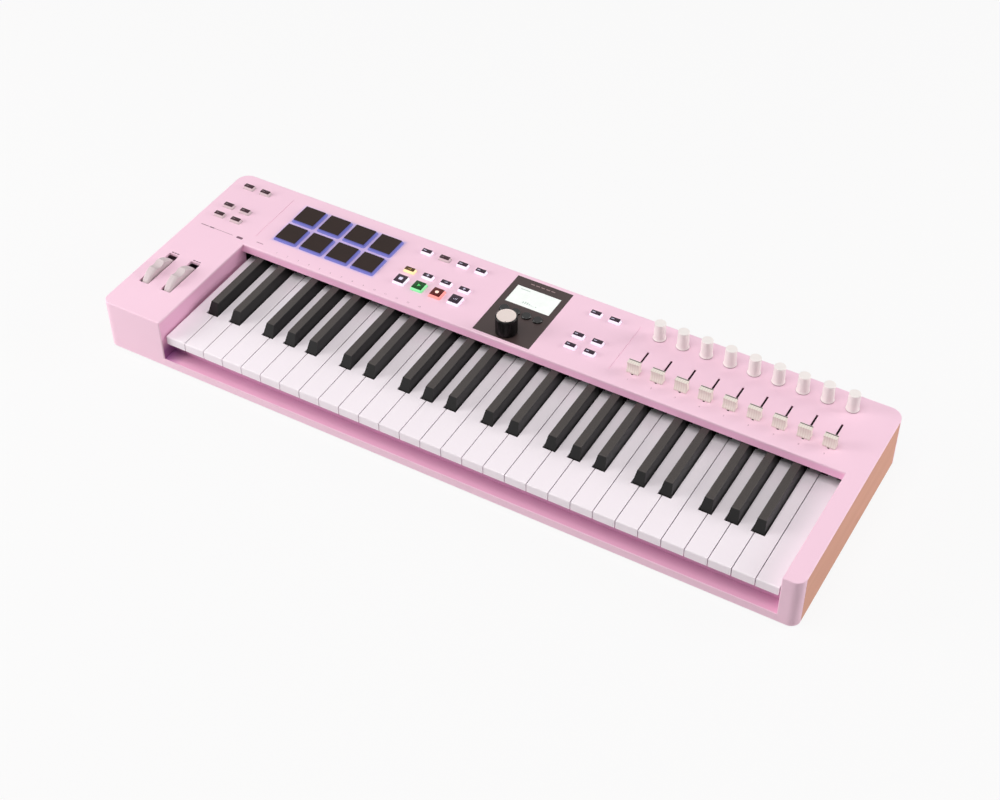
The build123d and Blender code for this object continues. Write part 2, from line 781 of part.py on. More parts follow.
def plunger(x, y, top):
    """The post below a button that presses its switch."""
    half = plunger_width / 2
    return block(x - half, x + half, y - half, y + half, switch_top_z + button_travel + rest_gap, top)


def make_button(x, y, size):
    """A push button: cap through the panel, retaining flange below and a plunger."""
    low = button_low_z
    button = rounded_block(x, y, size[0], size[1], low, top_z, button_corner)
    foot = Pos(x, y, top_z) * RectangleRounded(size[0], size[1], button_corner)
    top_size = (size[0] - 2 * button_taper, size[1] - 2 * button_taper)
    head = Pos(x, y, top_z + button_rise) * RectangleRounded(top_size[0], top_size[1], button_corner)
    button += loft([foot.face(), head.face()])
    width, depth = size[0] / 2 + button_flange, size[1] / 2 + button_flange
    button += block(x - width, x + width, y - depth, y + depth, low, low + button_flange_thickness)
    return button + plunger(x, y, low + merge)


def make_display_button(x):
    """A round key under the screen."""
    y = display_button_y
    cap = rod_z(x, y, button_low_z, top_z + display_button_rise, display_button_radius)
    cap = chamfer(cap.edges().sort_by(Axis.Z)[-1], display_button_edge)
    return cap + plunger(x, y, button_low_z + merge)


def make_pad(x, y):
    """A silicone drum pad with a retaining flange."""
    low = pad_low_z
    pad = rounded_block(x, y, pad_size[0], pad_size[1], low, top_z + pad_rise, pad_corner)
    pad = chamfer(pad.faces().sort_by(Axis.Z)[-1].edges(), pad_edge)
    width, depth = pad_size[0] / 2 + pad_flange, pad_size[1] / 2 + pad_flange
    return pad + block(x - width, x + width, y - depth, y + depth, low, low + pad_flange_thickness)


def make_pad_light_guide():
    """The clear plate under the panel, with a collar that glows round each pad."""
    outer = 2 * (pad_side_gap + pad_glow_width)
    half_x = 1.5 * pad_pitch[0] + (pad_size[0] + outer) / 2 + pad_guide_margin
    half_y = 0.5 * pad_pitch[1] + (pad_size[1] + outer) / 2 + pad_guide_margin
    x0, x1 = pad_block_x - half_x, pad_block_x + half_x
    guide = block(x0, x1, pad_block_y - half_y, pad_block_y + half_y, guide_low_z, under_top_z - seat_gap)
    for x, y in pad_centres():
        guide += pad_outline_block(x, y, outer, guide_low_z, top_z + pad_glow_rise)
    for x, y in pad_centres():
        guide -= pad_outline_block(x, y, 2 * pad_side_gap, guide_low_z - 1, top_z + 1)
    return guide


def pad_outline_block(x, y, grow, z0, z1):
    """A block with a pad's plan, grown all round."""
    return rounded_block(x, y, pad_size[0] + grow, pad_size[1] + grow, z0, z1, pad_corner + grow / 2)


def make_display_glass():
    """The dark cover over the display module, with its window and holes."""
    low = top_z - display_glass_thickness
    glass = display_block(seat_gap, low, top_z)
    glass -= screen_block(0, 0, low - 1, top_z + 1)
    glass -= rod_z(display_centre[0], main_knob_y, low - 1, top_z + 1, shaft_radius + slip_gap)
    for bx in display_button_xs():
        glass -= rod_z(bx, display_button_y, low - 1, top_z + 1, display_button_radius + fit_gap)
    return glass


def make_lcd_module():
    """The screen, raised into the window from its tray on the board."""
    low = top_z - display_glass_thickness - fit_gap
    module = screen_block(-screen_gap, -screen_gap, low - 1, top_z - screen_recess)
    return module + screen_block(screen_tray[0], screen_tray[1], board_top_z, low)


def screen_block(grow_x, grow_y, z0, z1):
    """A block with the screen's plan, grown on each side."""
    x = display_centre[0]
    half_w, half_d = screen_size[0] / 2 + grow_x, screen_size[1] / 2 + grow_y
    return block(x - half_w, x + half_w, screen_y - half_d, screen_y + half_d, z0, z1)


def make_main_knob():
    """The large encoder: a finely grooved barrel with a dished crown, on its shaft."""
    x, y = display_centre[0], main_knob_y
    base = top_z + main_knob_lift
    crown = top_z + main_knob_height
    barrel = rod_z(0, 0, base, crown, main_knob_radius)
    barrel = chamfer(barrel.edges().sort_by(Axis.Z)[-1], main_knob_edge)
    recess_radius, recess_depth = main_knob_recess
    barrel -= rod_z(0, 0, crown - recess_depth, crown + 1, recess_radius)
    reach = main_knob_radius + 0.1
    for i in range(main_knob_grooves):
        angle = 2 * math.pi * i / main_knob_grooves
        x_groove, y_groove = reach * math.cos(angle), reach * math.sin(angle)
        barrel -= rod_z(x_groove, y_groove, base + 2, crown - 3, main_knob_groove)
    return Pos(x, y, 0) * barrel + rod_z(x, y, shaft_low_z, base + merge, shaft_radius)


def make_wheel(x):
    """A thumb wheel with a rounded tread, a finger notch and stub axles."""
    z = wheel_axis_z()
    disc = rod_x(x - wheel_width / 2, x + wheel_width / 2, wheel_row_y, z, wheel_radius)
    disc = fillet(disc.edges().filter_by(GeomType.CIRCLE), wheel_round)
    notch_z = top_z + wheel_rise - wheel_notch_depth + wheel_notch_radius
    disc -= rod_x(x - wheel_width, x + wheel_width, wheel_row_y, notch_z, wheel_notch_radius)
    half = wheel_width / 2 + wheel_axle_length
    return disc + rod_x(x - half, x + half, wheel_row_y, z, wheel_axle_radius)


def make_control_board():
    """The panel circuit board with switches, encoders, fader bodies and pad sensors."""
    x0, x1 = left_x + side_inset + 2, right_x - side_inset - 6
    y0 = fascia_y + wall + 2
    board = block(x0, x1, y0, rear_y - 14, board_low_z, board_top_z)
    half = switch_size / 2
    displays = [(x, display_button_y) for x in display_button_xs()]
    low = board_top_z - merge
    for x, y in small_places + large_places + displays:
        board += block(x - half, x + half, y - half, y + half, low, switch_top_z)
    half = encoder_size / 2
    encoders = [(x, knob_row_y) for x in knob_xs()] + [(display_centre[0], main_knob_y)]
    for x, y in encoders:
        board += block(x - half, x + half, y - half, y + half, low, encoder_top_z)
        board -= rod_z(x, y, shaft_low_z - 0.5, encoder_top_z + 1, shaft_radius + shaft_clearance)
    half_b, half_s = fader_body_width / 2, fader_slot_width / 2
    y0, y1 = fader_slot_y - fader_slot_length / 2, fader_slot_y + fader_slot_length / 2
    for x in knob_xs():
        board += block(x - half_b, x + half_b, y0 - 2, y1 + 1.5, low, encoder_top_z)
        board -= block(x - half_s, x + half_s, y0, y1, shaft_low_z, encoder_top_z + 1)
    half = pad_sensor_size / 2
    sensor_top = pad_low_z - pad_travel - rest_gap
    for x, y in pad_centres():
        board += block(x - half, x + half, y - half, y + half, low, sensor_top)
    return board


def make_rear_sockets():
    """Sockets on one small block behind the rear wall: pedal jack, five-pin and data."""
    y_in = rear_y - wall - fit_gap
    y_back = y_in - socket_block_depth
    block_x0, block_x1 = jack_x - 12, usb_x + 10
    block_low_z = socket_height - socket_block_height / 2
    body = block(block_x0, block_x1, y_back, y_in, block_low_z, block_low_z + socket_block_height)
    body += block(block_x0, block_x1, y_back, y_back + 3, floor_top_z + seat_gap, block_low_z + merge)
    body += rod_y(jack_x, y_in - 1, rear_y, socket_height, jack_barrel_radius)
    body -= rod_y(jack_x, rear_y - jack_depth, rear_y + 1, socket_height, jack_radius)
    body += rod_y(din_x, y_in - 1, rear_y, socket_height, din_radius + din_wall)
    body -= rod_y(din_x, rear_y - din_depth, rear_y + 1, socket_height, din_radius)
    for i in range(5):
        angle = math.radians(i * 45)
        x = din_x + din_core_radius * math.cos(angle)
        z = socket_height - din_core_radius * math.sin(angle)
        body -= rod_y(x, rear_y - din_depth - 4, rear_y - din_depth + 1, z, din_pin_radius)
    width, height = usb_size
    body += socket_block(width + 2 * usb_wall, height + 2 * usb_wall, y_in - 1, rear_y - fit_gap)
    body -= socket_block(width, height, rear_y - usb_depth, rear_y + 1)
    return body + socket_block(usb_tongue[0], usb_tongue[1], rear_y - usb_depth - merge, rear_y - 1.5)


def socket_block(width, height, y0, y1):
    """A bar along Y through the data socket's centre."""
    x0, x1 = usb_x - width / 2, usb_x + width / 2
    return block(x0, x1, y0, y1, socket_height - height / 2, socket_height + height / 2)


# ---------------------------------------------------------------- assembly
def build():
    """Every node of the assembly, by name."""
    parts["top_case"] = make_top_case()
    parts["bottom_case"] = make_bottom_case()
    parts["side_panel_left"] = make_side_panel(-1)
    parts["side_panel_right"] = make_side_panel(1)
    parts["rubber_feet"] = make_rubber_feet()
    parts["case_screws"] = make_case_screws()
    parts["display_glass"] = make_display_glass()
    parts["lcd_module"] = make_lcd_module()
    parts["control_board"] = make_control_board()
    parts["pad_light_guide"] = make_pad_light_guide()
    parts["rear_sockets"] = make_rear_sockets()
    parts["keybed_frame"] = make_keybed_frame()
    parts["key_springs"] = make_key_springs()
    parts["key_contact_strip"] = make_key_contact_strip()
    for note in white_notes + list(black_offsets):
        parts["keys_" + note] = make_key_group(note)
    parts["pitch_wheel"] = make_wheel(pitch_wheel_x)
    parts["mod_wheel"] = make_wheel(mod_wheel_x)
    parts["main_knob"] = make_main_knob()
    for i, x in enumerate(knob_xs(), 1):
        parts["knob_%d" % i] = make_knob(x)
        parts["fader_%d" % i] = make_fader(x)
    for i, (x, y) in enumerate(pad_centres(), 1):
        parts["pad_%d" % i] = make_pad(x, y)
    parts["left_buttons"] = [make_button(x, y, small_button) for x, y in side_cluster(left_cluster_x)]
    parts["right_buttons"] = [make_button(x, y, small_button) for x, y in side_cluster(right_cluster_x)]
    parts["function_buttons"] = [make_button(x, y, small_button) for x, y in centre_row(top_row_y)]
    transport = [make_button(x, y, small_button) for x, y in centre_row(mode_row_y)]
    transport += [make_button(x, y, large_button) for x, y in large_places]
    parts["transport_buttons"] = transport
    parts["display_buttons"] = [make_display_button(x) for x in display_button_xs()]


def write():
    """One STEP file per node."""
    os.makedirs("parts", exist_ok=True)
    for name, shape in parts.items():
        solids = shape if isinstance(shape, list) else [shape]
        pieces = [solid for item in solids for solid in item.solids()]
        body = pieces[0] if len(pieces) == 1 else Compound(children=pieces)
        body.label = name
        export_step(body, "parts/%s.step" % name)


build()
write()
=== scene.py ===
"""Looks for a full-size desktop keyboard controller: finishes, button windows, printing, lamps and stage."""
import logging
import math
from abc import ABC, abstractmethod
from dataclasses import dataclass
from enum import Enum
from typing import Callable, Iterable

import bmesh
import bpy
from mathutils import Matrix, Vector


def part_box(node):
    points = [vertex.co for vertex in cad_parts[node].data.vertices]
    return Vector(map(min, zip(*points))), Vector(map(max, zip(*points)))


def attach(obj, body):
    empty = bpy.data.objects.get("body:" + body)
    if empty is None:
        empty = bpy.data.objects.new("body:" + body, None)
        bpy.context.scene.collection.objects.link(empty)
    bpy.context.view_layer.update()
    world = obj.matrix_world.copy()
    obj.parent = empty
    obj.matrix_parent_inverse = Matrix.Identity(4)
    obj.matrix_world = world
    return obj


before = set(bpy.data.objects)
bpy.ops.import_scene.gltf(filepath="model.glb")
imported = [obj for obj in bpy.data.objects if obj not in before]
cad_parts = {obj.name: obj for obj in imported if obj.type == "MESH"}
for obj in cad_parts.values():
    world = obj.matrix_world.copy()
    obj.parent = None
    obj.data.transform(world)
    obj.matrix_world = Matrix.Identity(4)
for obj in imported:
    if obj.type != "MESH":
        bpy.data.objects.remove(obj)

log = logging.getLogger("keyboard")
Colour = tuple[float, float, float]
Point = tuple[float, float, float]
Span = tuple[float, float]
Socket = bpy.types.NodeSocket
Piece = bpy.types.Object
MM = 0.001
NOISE_LOW, NOISE_HIGH = 0.3, 0.7  # most of a noise texture's values lie between these
SMOOTH_ANGLE = math.radians(35)


# ---------------------------------------------------------------- colours and shader graphs
def linear(value: int) -> float:
    """Turns one display channel of 0 to 255 into a scene-linear share.

    Args:
        value: the display channel.

    Returns:
        The linear share.
    """
    share = value / 255
    return share / 12.92 if share <= 0.04045 else ((share + 0.055) / 1.055) ** 2.4


def srgb(red: int, green: int, blue: int) -> Colour:
    """Turns a display colour into a scene-linear one."""
    return linear(red), linear(green), linear(blue)


def scaled(colour: Colour, factor: float) -> Colour:
    """The colour made lighter or darker by a factor, kept below one."""
    return tuple(min(1.0, c * factor) for c in colour)


class Graph:
    """A material's node tree, with short ways to add and join nodes."""

    def __init__(self, name: str) -> None:
        """Starts an empty material with an output.

        Args:
            name: the material's name.
        """
        self.material = bpy.data.materials.new(name)
        self.material.use_nodes = True
        self.tree = self.material.node_tree
        self.tree.nodes.clear()
        self.output = self.add("ShaderNodeOutputMaterial")
        self.coords = self.add("ShaderNodeTexCoord").outputs["Object"]

    def add(self, kind: str, **values: object) -> bpy.types.Node:
        """Adds a node and sets its properties.

        Args:
            kind: the node's type name.
            values: property names and what to set them to.

        Returns:
            The new node.
        """
        node = self.tree.nodes.new(kind)
        for key, value in values.items():
            setattr(node, key, value)
        return node

    def join(self, out: Socket, into: Socket) -> None:
        """Links one socket to another."""
        self.tree.links.new(out, into)

    def surface(self, colour: Colour, roughness: float, specular: float = 0.5) -> bpy.types.Node:
        """Adds the surface shader and joins it to the output.

        Args:
            colour: its plain base colour.
            roughness: its plain roughness.
            specular: how strongly it mirrors.

        Returns:
            The Principled node.
        """
        shader = self.add("ShaderNodeBsdfPrincipled")
        shader.inputs["Base Color"].default_value = (*colour, 1)
        shader.inputs["Roughness"].default_value = roughness
        shader.inputs["Specular IOR Level"].default_value = specular
        self.join(shader.outputs["BSDF"], self.output.inputs["Surface"])
        return shader

    def axis(self, name: str) -> Socket:
        """One of the object coordinates.

        Args:
            name: X, Y or Z.

        Returns:
            The coordinate's socket.
        """
        split = self.add("ShaderNodeSeparateXYZ")
        self.join(self.coords, split.inputs[0])
        return split.outputs[name]

    def math(self, operation: str, first: Socket, second: Socket | float = 0.0) -> Socket:
        """Joins one or two values through a maths node.

        Args:
            operation: the node's operation.
            first: the first value.
            second: the second value, a socket or a number.

        Returns:
            The result's socket.
        """
        node = self.add("ShaderNodeMath", operation=operation)
        self.join(first, node.inputs[0])
        if isinstance(second, (int, float)):
            node.inputs[1].default_value = second
        else:
            self.join(second, node.inputs[1])
        return node.outputs[0]

    def mapped(self, value: Socket, source: Span, target: Span) -> Socket:
        """Maps a value from one range to another and holds it beyond both ends.

        Args:
            value: the value's socket.
            source: the range that the value has.
            target: the range that it gets.

        Returns:
            The mapped value's socket.
        """
        node = self.add("ShaderNodeMapRange")
        for name, number in zip(("From Min", "From Max", "To Min", "To Max"), (*source, *target)):
            node.inputs[name].default_value = number
        self.join(value, node.inputs["Value"])
        return node.outputs["Result"]

    def step(self, value: Socket, start: float, end: float) -> Socket:
        """A value from 0 at start to 1 at end."""
        return self.mapped(value, (start, end), (0.0, 1.0))

    def spread(self, noise: Socket, low: float, high: float) -> Socket:
        """Noise stretched over a whole range."""
        return self.mapped(noise, (NOISE_LOW, NOISE_HIGH), (low, high))

    def away(self, name: str, middle: float) -> Socket:
        """How far a point lies from a plane across the X or Y axis."""
        return self.math("ABSOLUTE", self.math("SUBTRACT", self.axis(name), middle))

    def inside(self, low: Vector, high: Vector) -> Socket:
        """One within an upright box of any height and nothing outside it.

        Args:
            low: the box's lowest corner.
            high: its highest corner.

        Returns:
            The mask's socket.
        """
        middle, half = (low + high) / 2, (high - low) / 2
        across = self.math("LESS_THAN", self.away("X", middle.x), half.x)
        along = self.math("LESS_THAN", self.away("Y", middle.y), half.y)
        return self.math("MULTIPLY", across, along)

    def noise(self, scale: float, detail: float = 2.0, stretch: Point = (1, 1, 1)) -> Socket:
        """Adds noise on object coordinates.

        Args:
            scale: cells per metre.
            detail: octaves.
            stretch: scale along each axis.

        Returns:
            The noise factor's socket.
        """
        mapping = self.add("ShaderNodeMapping")
        mapping.inputs["Scale"].default_value = stretch
        self.join(self.coords, mapping.inputs["Vector"])
        node = self.add("ShaderNodeTexNoise")
        node.inputs["Scale"].default_value = scale
        node.inputs["Detail"].default_value = detail
        self.join(mapping.outputs["Vector"], node.inputs["Vector"])
        return node.outputs["Fac"]

    def cloud(self, scale: float, detail: float = 3.0) -> Socket:
        """Soft noise from 0 to 1."""
        return self.spread(self.noise(scale, detail), 0.0, 1.0)

    def blend(self, factor: Socket, first: Colour | Socket, second: Colour | Socket) -> Socket:
        """Mixes two colours by a factor.

        Args:
            factor: the mix, 0 for the first colour.
            first: a colour or a colour socket.
            second: a colour or a colour socket.

        Returns:
            The mixed colour's socket.
        """
        node = self.add("ShaderNodeMix", data_type="RGBA")
        self.join(factor, node.inputs[0])
        for slot, colour in ((6, first), (7, second)):
            if isinstance(colour, tuple):
                node.inputs[slot].default_value = (*colour, 1)
            else:
                self.join(colour, node.inputs[slot])
        return node.outputs[2]

    def drifting(self, colour: Colour, scale: float, low: float, high: float = 1.0) -> Socket:
        """A colour that drifts softly between two shades of itself."""
        return self.blend(self.cloud(scale), scaled(colour, low), scaled(colour, high))

    def bump(self, height: Socket, shader: bpy.types.Node, depth: float, strength: float) -> None:
        """Turns a height into surface relief.

        Args:
            height: the height's socket, 0 to 1.
            shader: the surface shader.
            depth: the relief in metres.
            strength: how much of it shows.
        """
        node = self.add("ShaderNodeBump")
        node.inputs["Distance"].default_value = depth
        node.inputs["Strength"].default_value = strength
        self.join(height, node.inputs["Height"])
        self.join(node.outputs["Normal"], shader.inputs["Normal"])


# ---------------------------------------------------------------- finishes
@dataclass(frozen=True)
class Finish(ABC):
    """A named finish, which each kind of material paints in its own way."""

    name: str

    def build(self) -> bpy.types.Material:
        """Makes the material.

        Returns:
            The new material.
        """
        graph = Graph(self.name)
        self.paint(graph)
        return graph.material

    @abstractmethod
    def paint(self, graph: Graph) -> None:
        """Adds the finish's own nodes to an empty graph."""


@dataclass(frozen=True)
class Moulded(Finish):
    """Moulded plastic or rubber: faint colour drift, fine spark texture and uneven gloss."""

    colour: Colour
    roughness: float = 0.45
    drift: float = 0.03
    grain: float = 2600.0
    grain_depth: float = 0.04 * MM
    specular: float = 0.5
    uneven: float = 0.12
    drift_scale: float = 9.0
    gloss_scale: float = 38.0

    def paint(self, graph: Graph) -> None:
        """Paints the colour, the uneven gloss and the texture.

        Args:
            graph: the material's nodes.
        """
        shader = graph.surface(self.colour, self.roughness, self.specular)
        graph.join(self.tinted(graph), shader.inputs["Base Color"])
        low, high = self.roughness * (1 - self.uneven), self.roughness * (1 + self.uneven)
        graph.join(graph.spread(graph.noise(self.gloss_scale, 4.0), low, high), shader.inputs["Roughness"])
        graph.bump(graph.noise(self.grain), shader, self.grain_depth, 0.35)

    def tinted(self, graph: Graph) -> Socket:
        """The plastic's own colour, with its drift."""
        return graph.drifting(self.colour, self.drift_scale, 1 - self.drift, 1 + self.drift)


@dataclass(frozen=True, kw_only=True)
class Shell(Moulded):
    """The shell's plastic, with painted shade down the key well's walls, in its trough and in the slots, and
    a painted glow round the pads.
    """

    # painted shade on the well's walls, in the trough from front to rear and at its left end, and in the
    # slots; and a painted glow round the pads
    wall: Colour
    trough_front: Colour
    trough_rear: Colour
    trough_end: Colour
    # slot: painted shade inside the slots, below the deck
    slot: Colour
    halo: Colour
    halo_share: float = 0.62
    halo_reach: float = 4.0 * MM
    ring: float = 0.6 * MM
    skin: float = 4.0 * MM
    deck_front: float = 149.5 * MM
    sill_setback: float = 1.2 * MM
    well_gap: float = 2.6 * MM
    # where each painted shade tone starts and is full: below the top, above the base, behind the front, past
    # the keys' end
    wall_fade: Span = (0.8 * MM, 3.5 * MM)
    floor_fade: Span = (30.0 * MM, 18.0 * MM)
    rear_fade: Span = (4.0 * MM, 21.0 * MM)
    end_fade: Span = (16.0 * MM, -1.0 * MM)
    slot_fade: Span = (0.6 * MM, 1.0 * MM)

    def tinted(self, graph: Graph) -> Socket:
        """The shell's colour, with its painted shade and painted pad glow in their zones.

        Args:
            graph: the material's nodes.

        Returns:
            The colour's socket.
        """
        wall, floor = self.well(graph)
        colour = graph.blend(wall, super().tinted(graph), self.wall)
        colour = graph.blend(floor, colour, self.trough_colour(graph))
        colour = graph.blend(self.slots(graph), colour, self.slot)
        return graph.blend(self.pad_light(graph), colour, self.halo)

    def well(self, graph: Graph) -> tuple[Socket, Socket]:
        """Finds where shade is painted on the key well's walls and on the floor of its trough.

        Args:
            graph: the material's nodes.

        Returns:
            How far a point is down the walls, and how far into the trough.
        """
        keys_low, keys_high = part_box("keys_c")
        low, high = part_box("top_case")
        within = graph.inside(Vector((keys_low.x - self.well_gap, low.y + self.sill_setback, 0)),
                              Vector((keys_high.x + self.well_gap, low.y + self.deck_front, 0)))
        height = graph.axis("Z")
        wall = graph.step(height, *(high.z - depth for depth in self.wall_fade))
        floor = graph.step(height, *(low.z + rise for rise in self.floor_fade))
        return graph.math("MULTIPLY", within, wall), graph.math("MULTIPLY", within, floor)

    def trough_colour(self, graph: Graph) -> Socket:
        """The trough's painted shade, deepest under the fronts of the keys and at the well's left end.

        Args:
            graph: the material's nodes.

        Returns:
            The colour's socket.
        """
        front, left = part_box("top_case")[0].y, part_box("keys_c")[0].x
        rear = graph.step(graph.axis("Y"), *(front + run for run in self.rear_fade))
        end = graph.step(graph.axis("X"), *(left + run for run in self.end_fade))
        return graph.blend(end, graph.blend(rear, self.trough_front, self.trough_rear), self.trough_end)

    def slots(self, graph: Graph) -> Socket:
        """Finds what lies below the deck's surface, inside the outer walls, where the slots' shade is
        painted.

        Args:
            graph: the material's nodes.

        Returns:
            The mask's socket.
        """
        low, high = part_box("top_case")
        within = graph.inside(Vector((low.x + self.skin, low.y + self.deck_front, 0)),
                              Vector((high.x - self.skin, high.y - self.skin, 0)))
        shade_below = graph.step(graph.axis("Z"), *(high.z - depth for depth in self.slot_fade))
        return graph.math("MULTIPLY", within, shade_below)

    def pad_light(self, graph: Graph) -> Socket:
        """The painted glow that stands for the light the pads throw on the deck.

        Args:
            graph: the material's nodes.

        Returns:
            The painted glow's share at a point.
        """
        first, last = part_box("pad_1"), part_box("pad_8")
        low, high = Vector((first[0].x, last[0].y)), Vector((last[1].x, first[1].y))
        middle, half = (low + high) / 2, (high - low) / 2
        across = graph.math("SUBTRACT", graph.away("X", middle.x), half.x + self.ring)
        along = graph.math("SUBTRACT", graph.away("Y", middle.y), half.y + self.ring)
        near = graph.step(graph.math("MAXIMUM", across, along), self.halo_reach, 0.0)
        return graph.math("MULTIPLY", graph.math("MULTIPLY", near, near), self.halo_share)


@dataclass(frozen=True)
class Populated(Finish):
    """A circuit board: green laminate with dark component bodies standing on it."""

    laminate: Colour
    component: Colour
    laminate_top: float
    track_shade: float = 1.35

    def paint(self, graph: Graph) -> None:
        """Paints the laminate, its tracks and the components.

        Args:
            graph: the board's nodes.
        """
        shader = graph.surface(self.laminate, 0.45)
        tracks = graph.step(graph.noise(140.0, 1.0, (1.0, 3.0, 1.0)), 0.52, 0.54)
        green = graph.blend(tracks, self.laminate, scaled(self.laminate, self.track_shade))
        above = graph.step(graph.axis("Z"), self.laminate_top + 0.1 * MM, self.laminate_top + 0.2 * MM)
        graph.join(graph.blend(above, green, self.component), shader.inputs["Base Color"])
        graph.bump(graph.noise(900.0), shader, 0.03 * MM, 0.3)


@dataclass(frozen=True)
class SatinKey(Finish):
    """Black key plastic: deep black sides, with the top painted paler as a reflected sheen."""

    # top: a painted sheen, paler than the black plastic of the sides
    top: Colour
    side: Colour
    roughness: float = 0.4
    specular: float = 0.35
    fleck: float = 0.18
    upward: Span = (0.45, 0.85)

    def paint(self, graph: Graph) -> None:
        """Paints the paler top, a painted sheen, by how far a face looks up.

        Args:
            graph: the key's nodes.
        """
        shader = graph.surface(self.top, self.roughness, self.specular)
        facing = graph.add("ShaderNodeSeparateXYZ")
        graph.join(graph.add("ShaderNodeNewGeometry").outputs["Normal"], facing.inputs[0])
        up = graph.step(facing.outputs["Z"], *self.upward)
        top = graph.drifting(self.top, 1500.0, 1 - self.fleck, 1 + self.fleck)
        graph.join(graph.blend(up, self.side, top), shader.inputs["Base Color"])
        graph.bump(graph.noise(1800.0), shader, 0.04 * MM, 0.35)


@dataclass(frozen=True)
class Ribbed(Finish):
    """Moulded caps with fine upright ribs, painted shade in the ribs' grooves, and painted shade on the foot
    down in the panel's slot.
    """

    colour: Colour
    # groove: painted shade in the ribs' grooves
    groove: Colour
    # foot: painted shade where the cap stands down in the slot
    foot: Colour
    pitch: float = 2.4 * MM
    foot_rise: float = 0.3 * MM
    roughness: float = 0.5

    def paint(self, graph: Graph) -> None:
        """Paints the ribs with painted shade in their grooves, and the foot's painted shade.

        Args:
            graph: the cap's nodes.
        """
        shader = graph.surface(self.colour, self.roughness)
        wave = graph.math("SINE", graph.math("MULTIPLY", graph.axis("X"), math.tau / self.pitch))
        plain = graph.drifting(self.colour, 60.0, 0.98)
        ribbed = graph.blend(graph.step(wave, -0.2, -0.9), plain, self.groove)
        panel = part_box("top_case")[1].z
        shade_below = graph.step(graph.axis("Z"), panel + self.foot_rise, panel)
        graph.join(graph.blend(shade_below, ribbed, self.foot), shader.inputs["Base Color"])
        graph.bump(graph.step(wave, -0.9, -0.2), shader, 0.05 * MM, 0.3)


@dataclass(frozen=True)
class Footed(Finish):
    """Moulded knob plastic with a painted shadow line where it meets the panel."""

    colour: Colour
    # foot: a painted contact shadow
    foot: Colour
    line: Span = (1.17 * MM, 0.63 * MM)
    roughness: float = 0.4

    def paint(self, graph: Graph) -> None:
        """Paints the plastic and the painted shadow line at its foot.

        Args:
            graph: the knob's nodes.
        """
        shader = graph.surface(self.colour, self.roughness)
        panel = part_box("top_case")[1].z
        low = graph.step(graph.axis("Z"), *(panel + rise for rise in self.line))
        plain = graph.drifting(self.colour, 60.0, 0.985)
        graph.join(graph.blend(low, plain, self.foot), shader.inputs["Base Color"])
        graph.bump(graph.noise(2400.0), shader, 0.03 * MM, 0.3)


@dataclass(frozen=True)
class Grained(Finish):
    """A side panel with long fine grain along the case."""

    colour: Colour
    dark: Colour
    roughness: float = 0.55

    def paint(self, graph: Graph) -> None:
        """Paints fine streaks over a broader figure.

        Args:
            graph: the panel's nodes.
        """
        shader = graph.surface(self.colour, self.roughness)
        streak = graph.noise(70.0, 5.0, (1.0, 0.12, 1.6))
        figure = graph.noise(14.0, 3.0, (1.0, 0.2, 1.0))
        both = graph.math("MULTIPLY", graph.math("ADD", streak, figure), 0.5)
        tone = graph.spread(both, 0.0, 1.0)
        graph.join(graph.blend(tone, self.dark, self.colour), shader.inputs["Base Color"])
        graph.bump(graph.noise(420.0, 3.0, (1.0, 0.1, 1.6)), shader, 0.05 * MM, 0.5)


@dataclass(frozen=True)
class Lit(Finish):
    """Translucent plastic lit from inside."""

    colour: Colour
    glow: Colour
    strength: float
    roughness: float = 0.4

    def paint(self, graph: Graph) -> None:
        """Paints a slightly cloudy glow.

        Args:
            graph: the plastic's nodes.
        """
        shader = graph.surface(self.colour, self.roughness)
        shader.inputs["Emission Color"].default_value = (*self.glow, 1)
        cloud = graph.spread(graph.noise(160.0), 0.9 * self.strength, 1.1 * self.strength)
        graph.join(cloud, shader.inputs["Emission Strength"])
        graph.join(graph.drifting(self.colour, 60.0, 0.96), shader.inputs["Base Color"])
        graph.bump(graph.noise(1800.0), shader, 0.03 * MM, 0.3)


@dataclass(frozen=True)
class Metal(Finish):
    """Plated or sprung steel with fine brushing."""

    colour: Colour
    roughness: float = 0.35

    def paint(self, graph: Graph) -> None:
        """Paints brushed metal.

        Args:
            graph: the metal's nodes.
        """
        shader = graph.surface(self.colour, self.roughness)
        shader.inputs["Metallic"].default_value = 1.0
        brushed = graph.noise(900.0, 3.0, (1.0, 0.08, 1.0))
        gloss = graph.spread(brushed, self.roughness * 0.8, self.roughness * 1.25)
        graph.join(gloss, shader.inputs["Roughness"])
        graph.join(graph.drifting(self.colour, 40.0, 0.9), shader.inputs["Base Color"])
        graph.bump(brushed, shader, 0.02 * MM, 0.3)


@dataclass(frozen=True)
class Turned(Finish):
    """A disc with fine rings round its own middle, as a turned cap has."""

    colour: Colour
    middle: Point
    ring_pitch: float = 0.28 * MM
    ring_shade: float = 0.93
    roughness: float = 0.3
    metallic: float = 0.12

    def paint(self, graph: Graph) -> None:
        """Paints the rings.

        Args:
            graph: the disc's nodes.
        """
        shader = graph.surface(self.colour, self.roughness)
        shader.inputs["Metallic"].default_value = self.metallic
        mapping = graph.add("ShaderNodeMapping")
        mapping.inputs["Location"].default_value = [-c for c in self.middle]
        graph.join(graph.coords, mapping.inputs["Vector"])
        length = graph.add("ShaderNodeVectorMath", operation="LENGTH")
        graph.join(mapping.outputs["Vector"], length.inputs[0])
        ring = graph.math("SINE", graph.math("MULTIPLY", length.outputs["Value"], math.tau / self.ring_pitch))
        tone = graph.step(ring, -1.0, 1.0)
        shade = graph.blend(tone, scaled(self.colour, self.ring_shade), self.colour)
        graph.join(shade, shader.inputs["Base Color"])
        graph.bump(tone, shader, 0.02 * MM, 0.4)


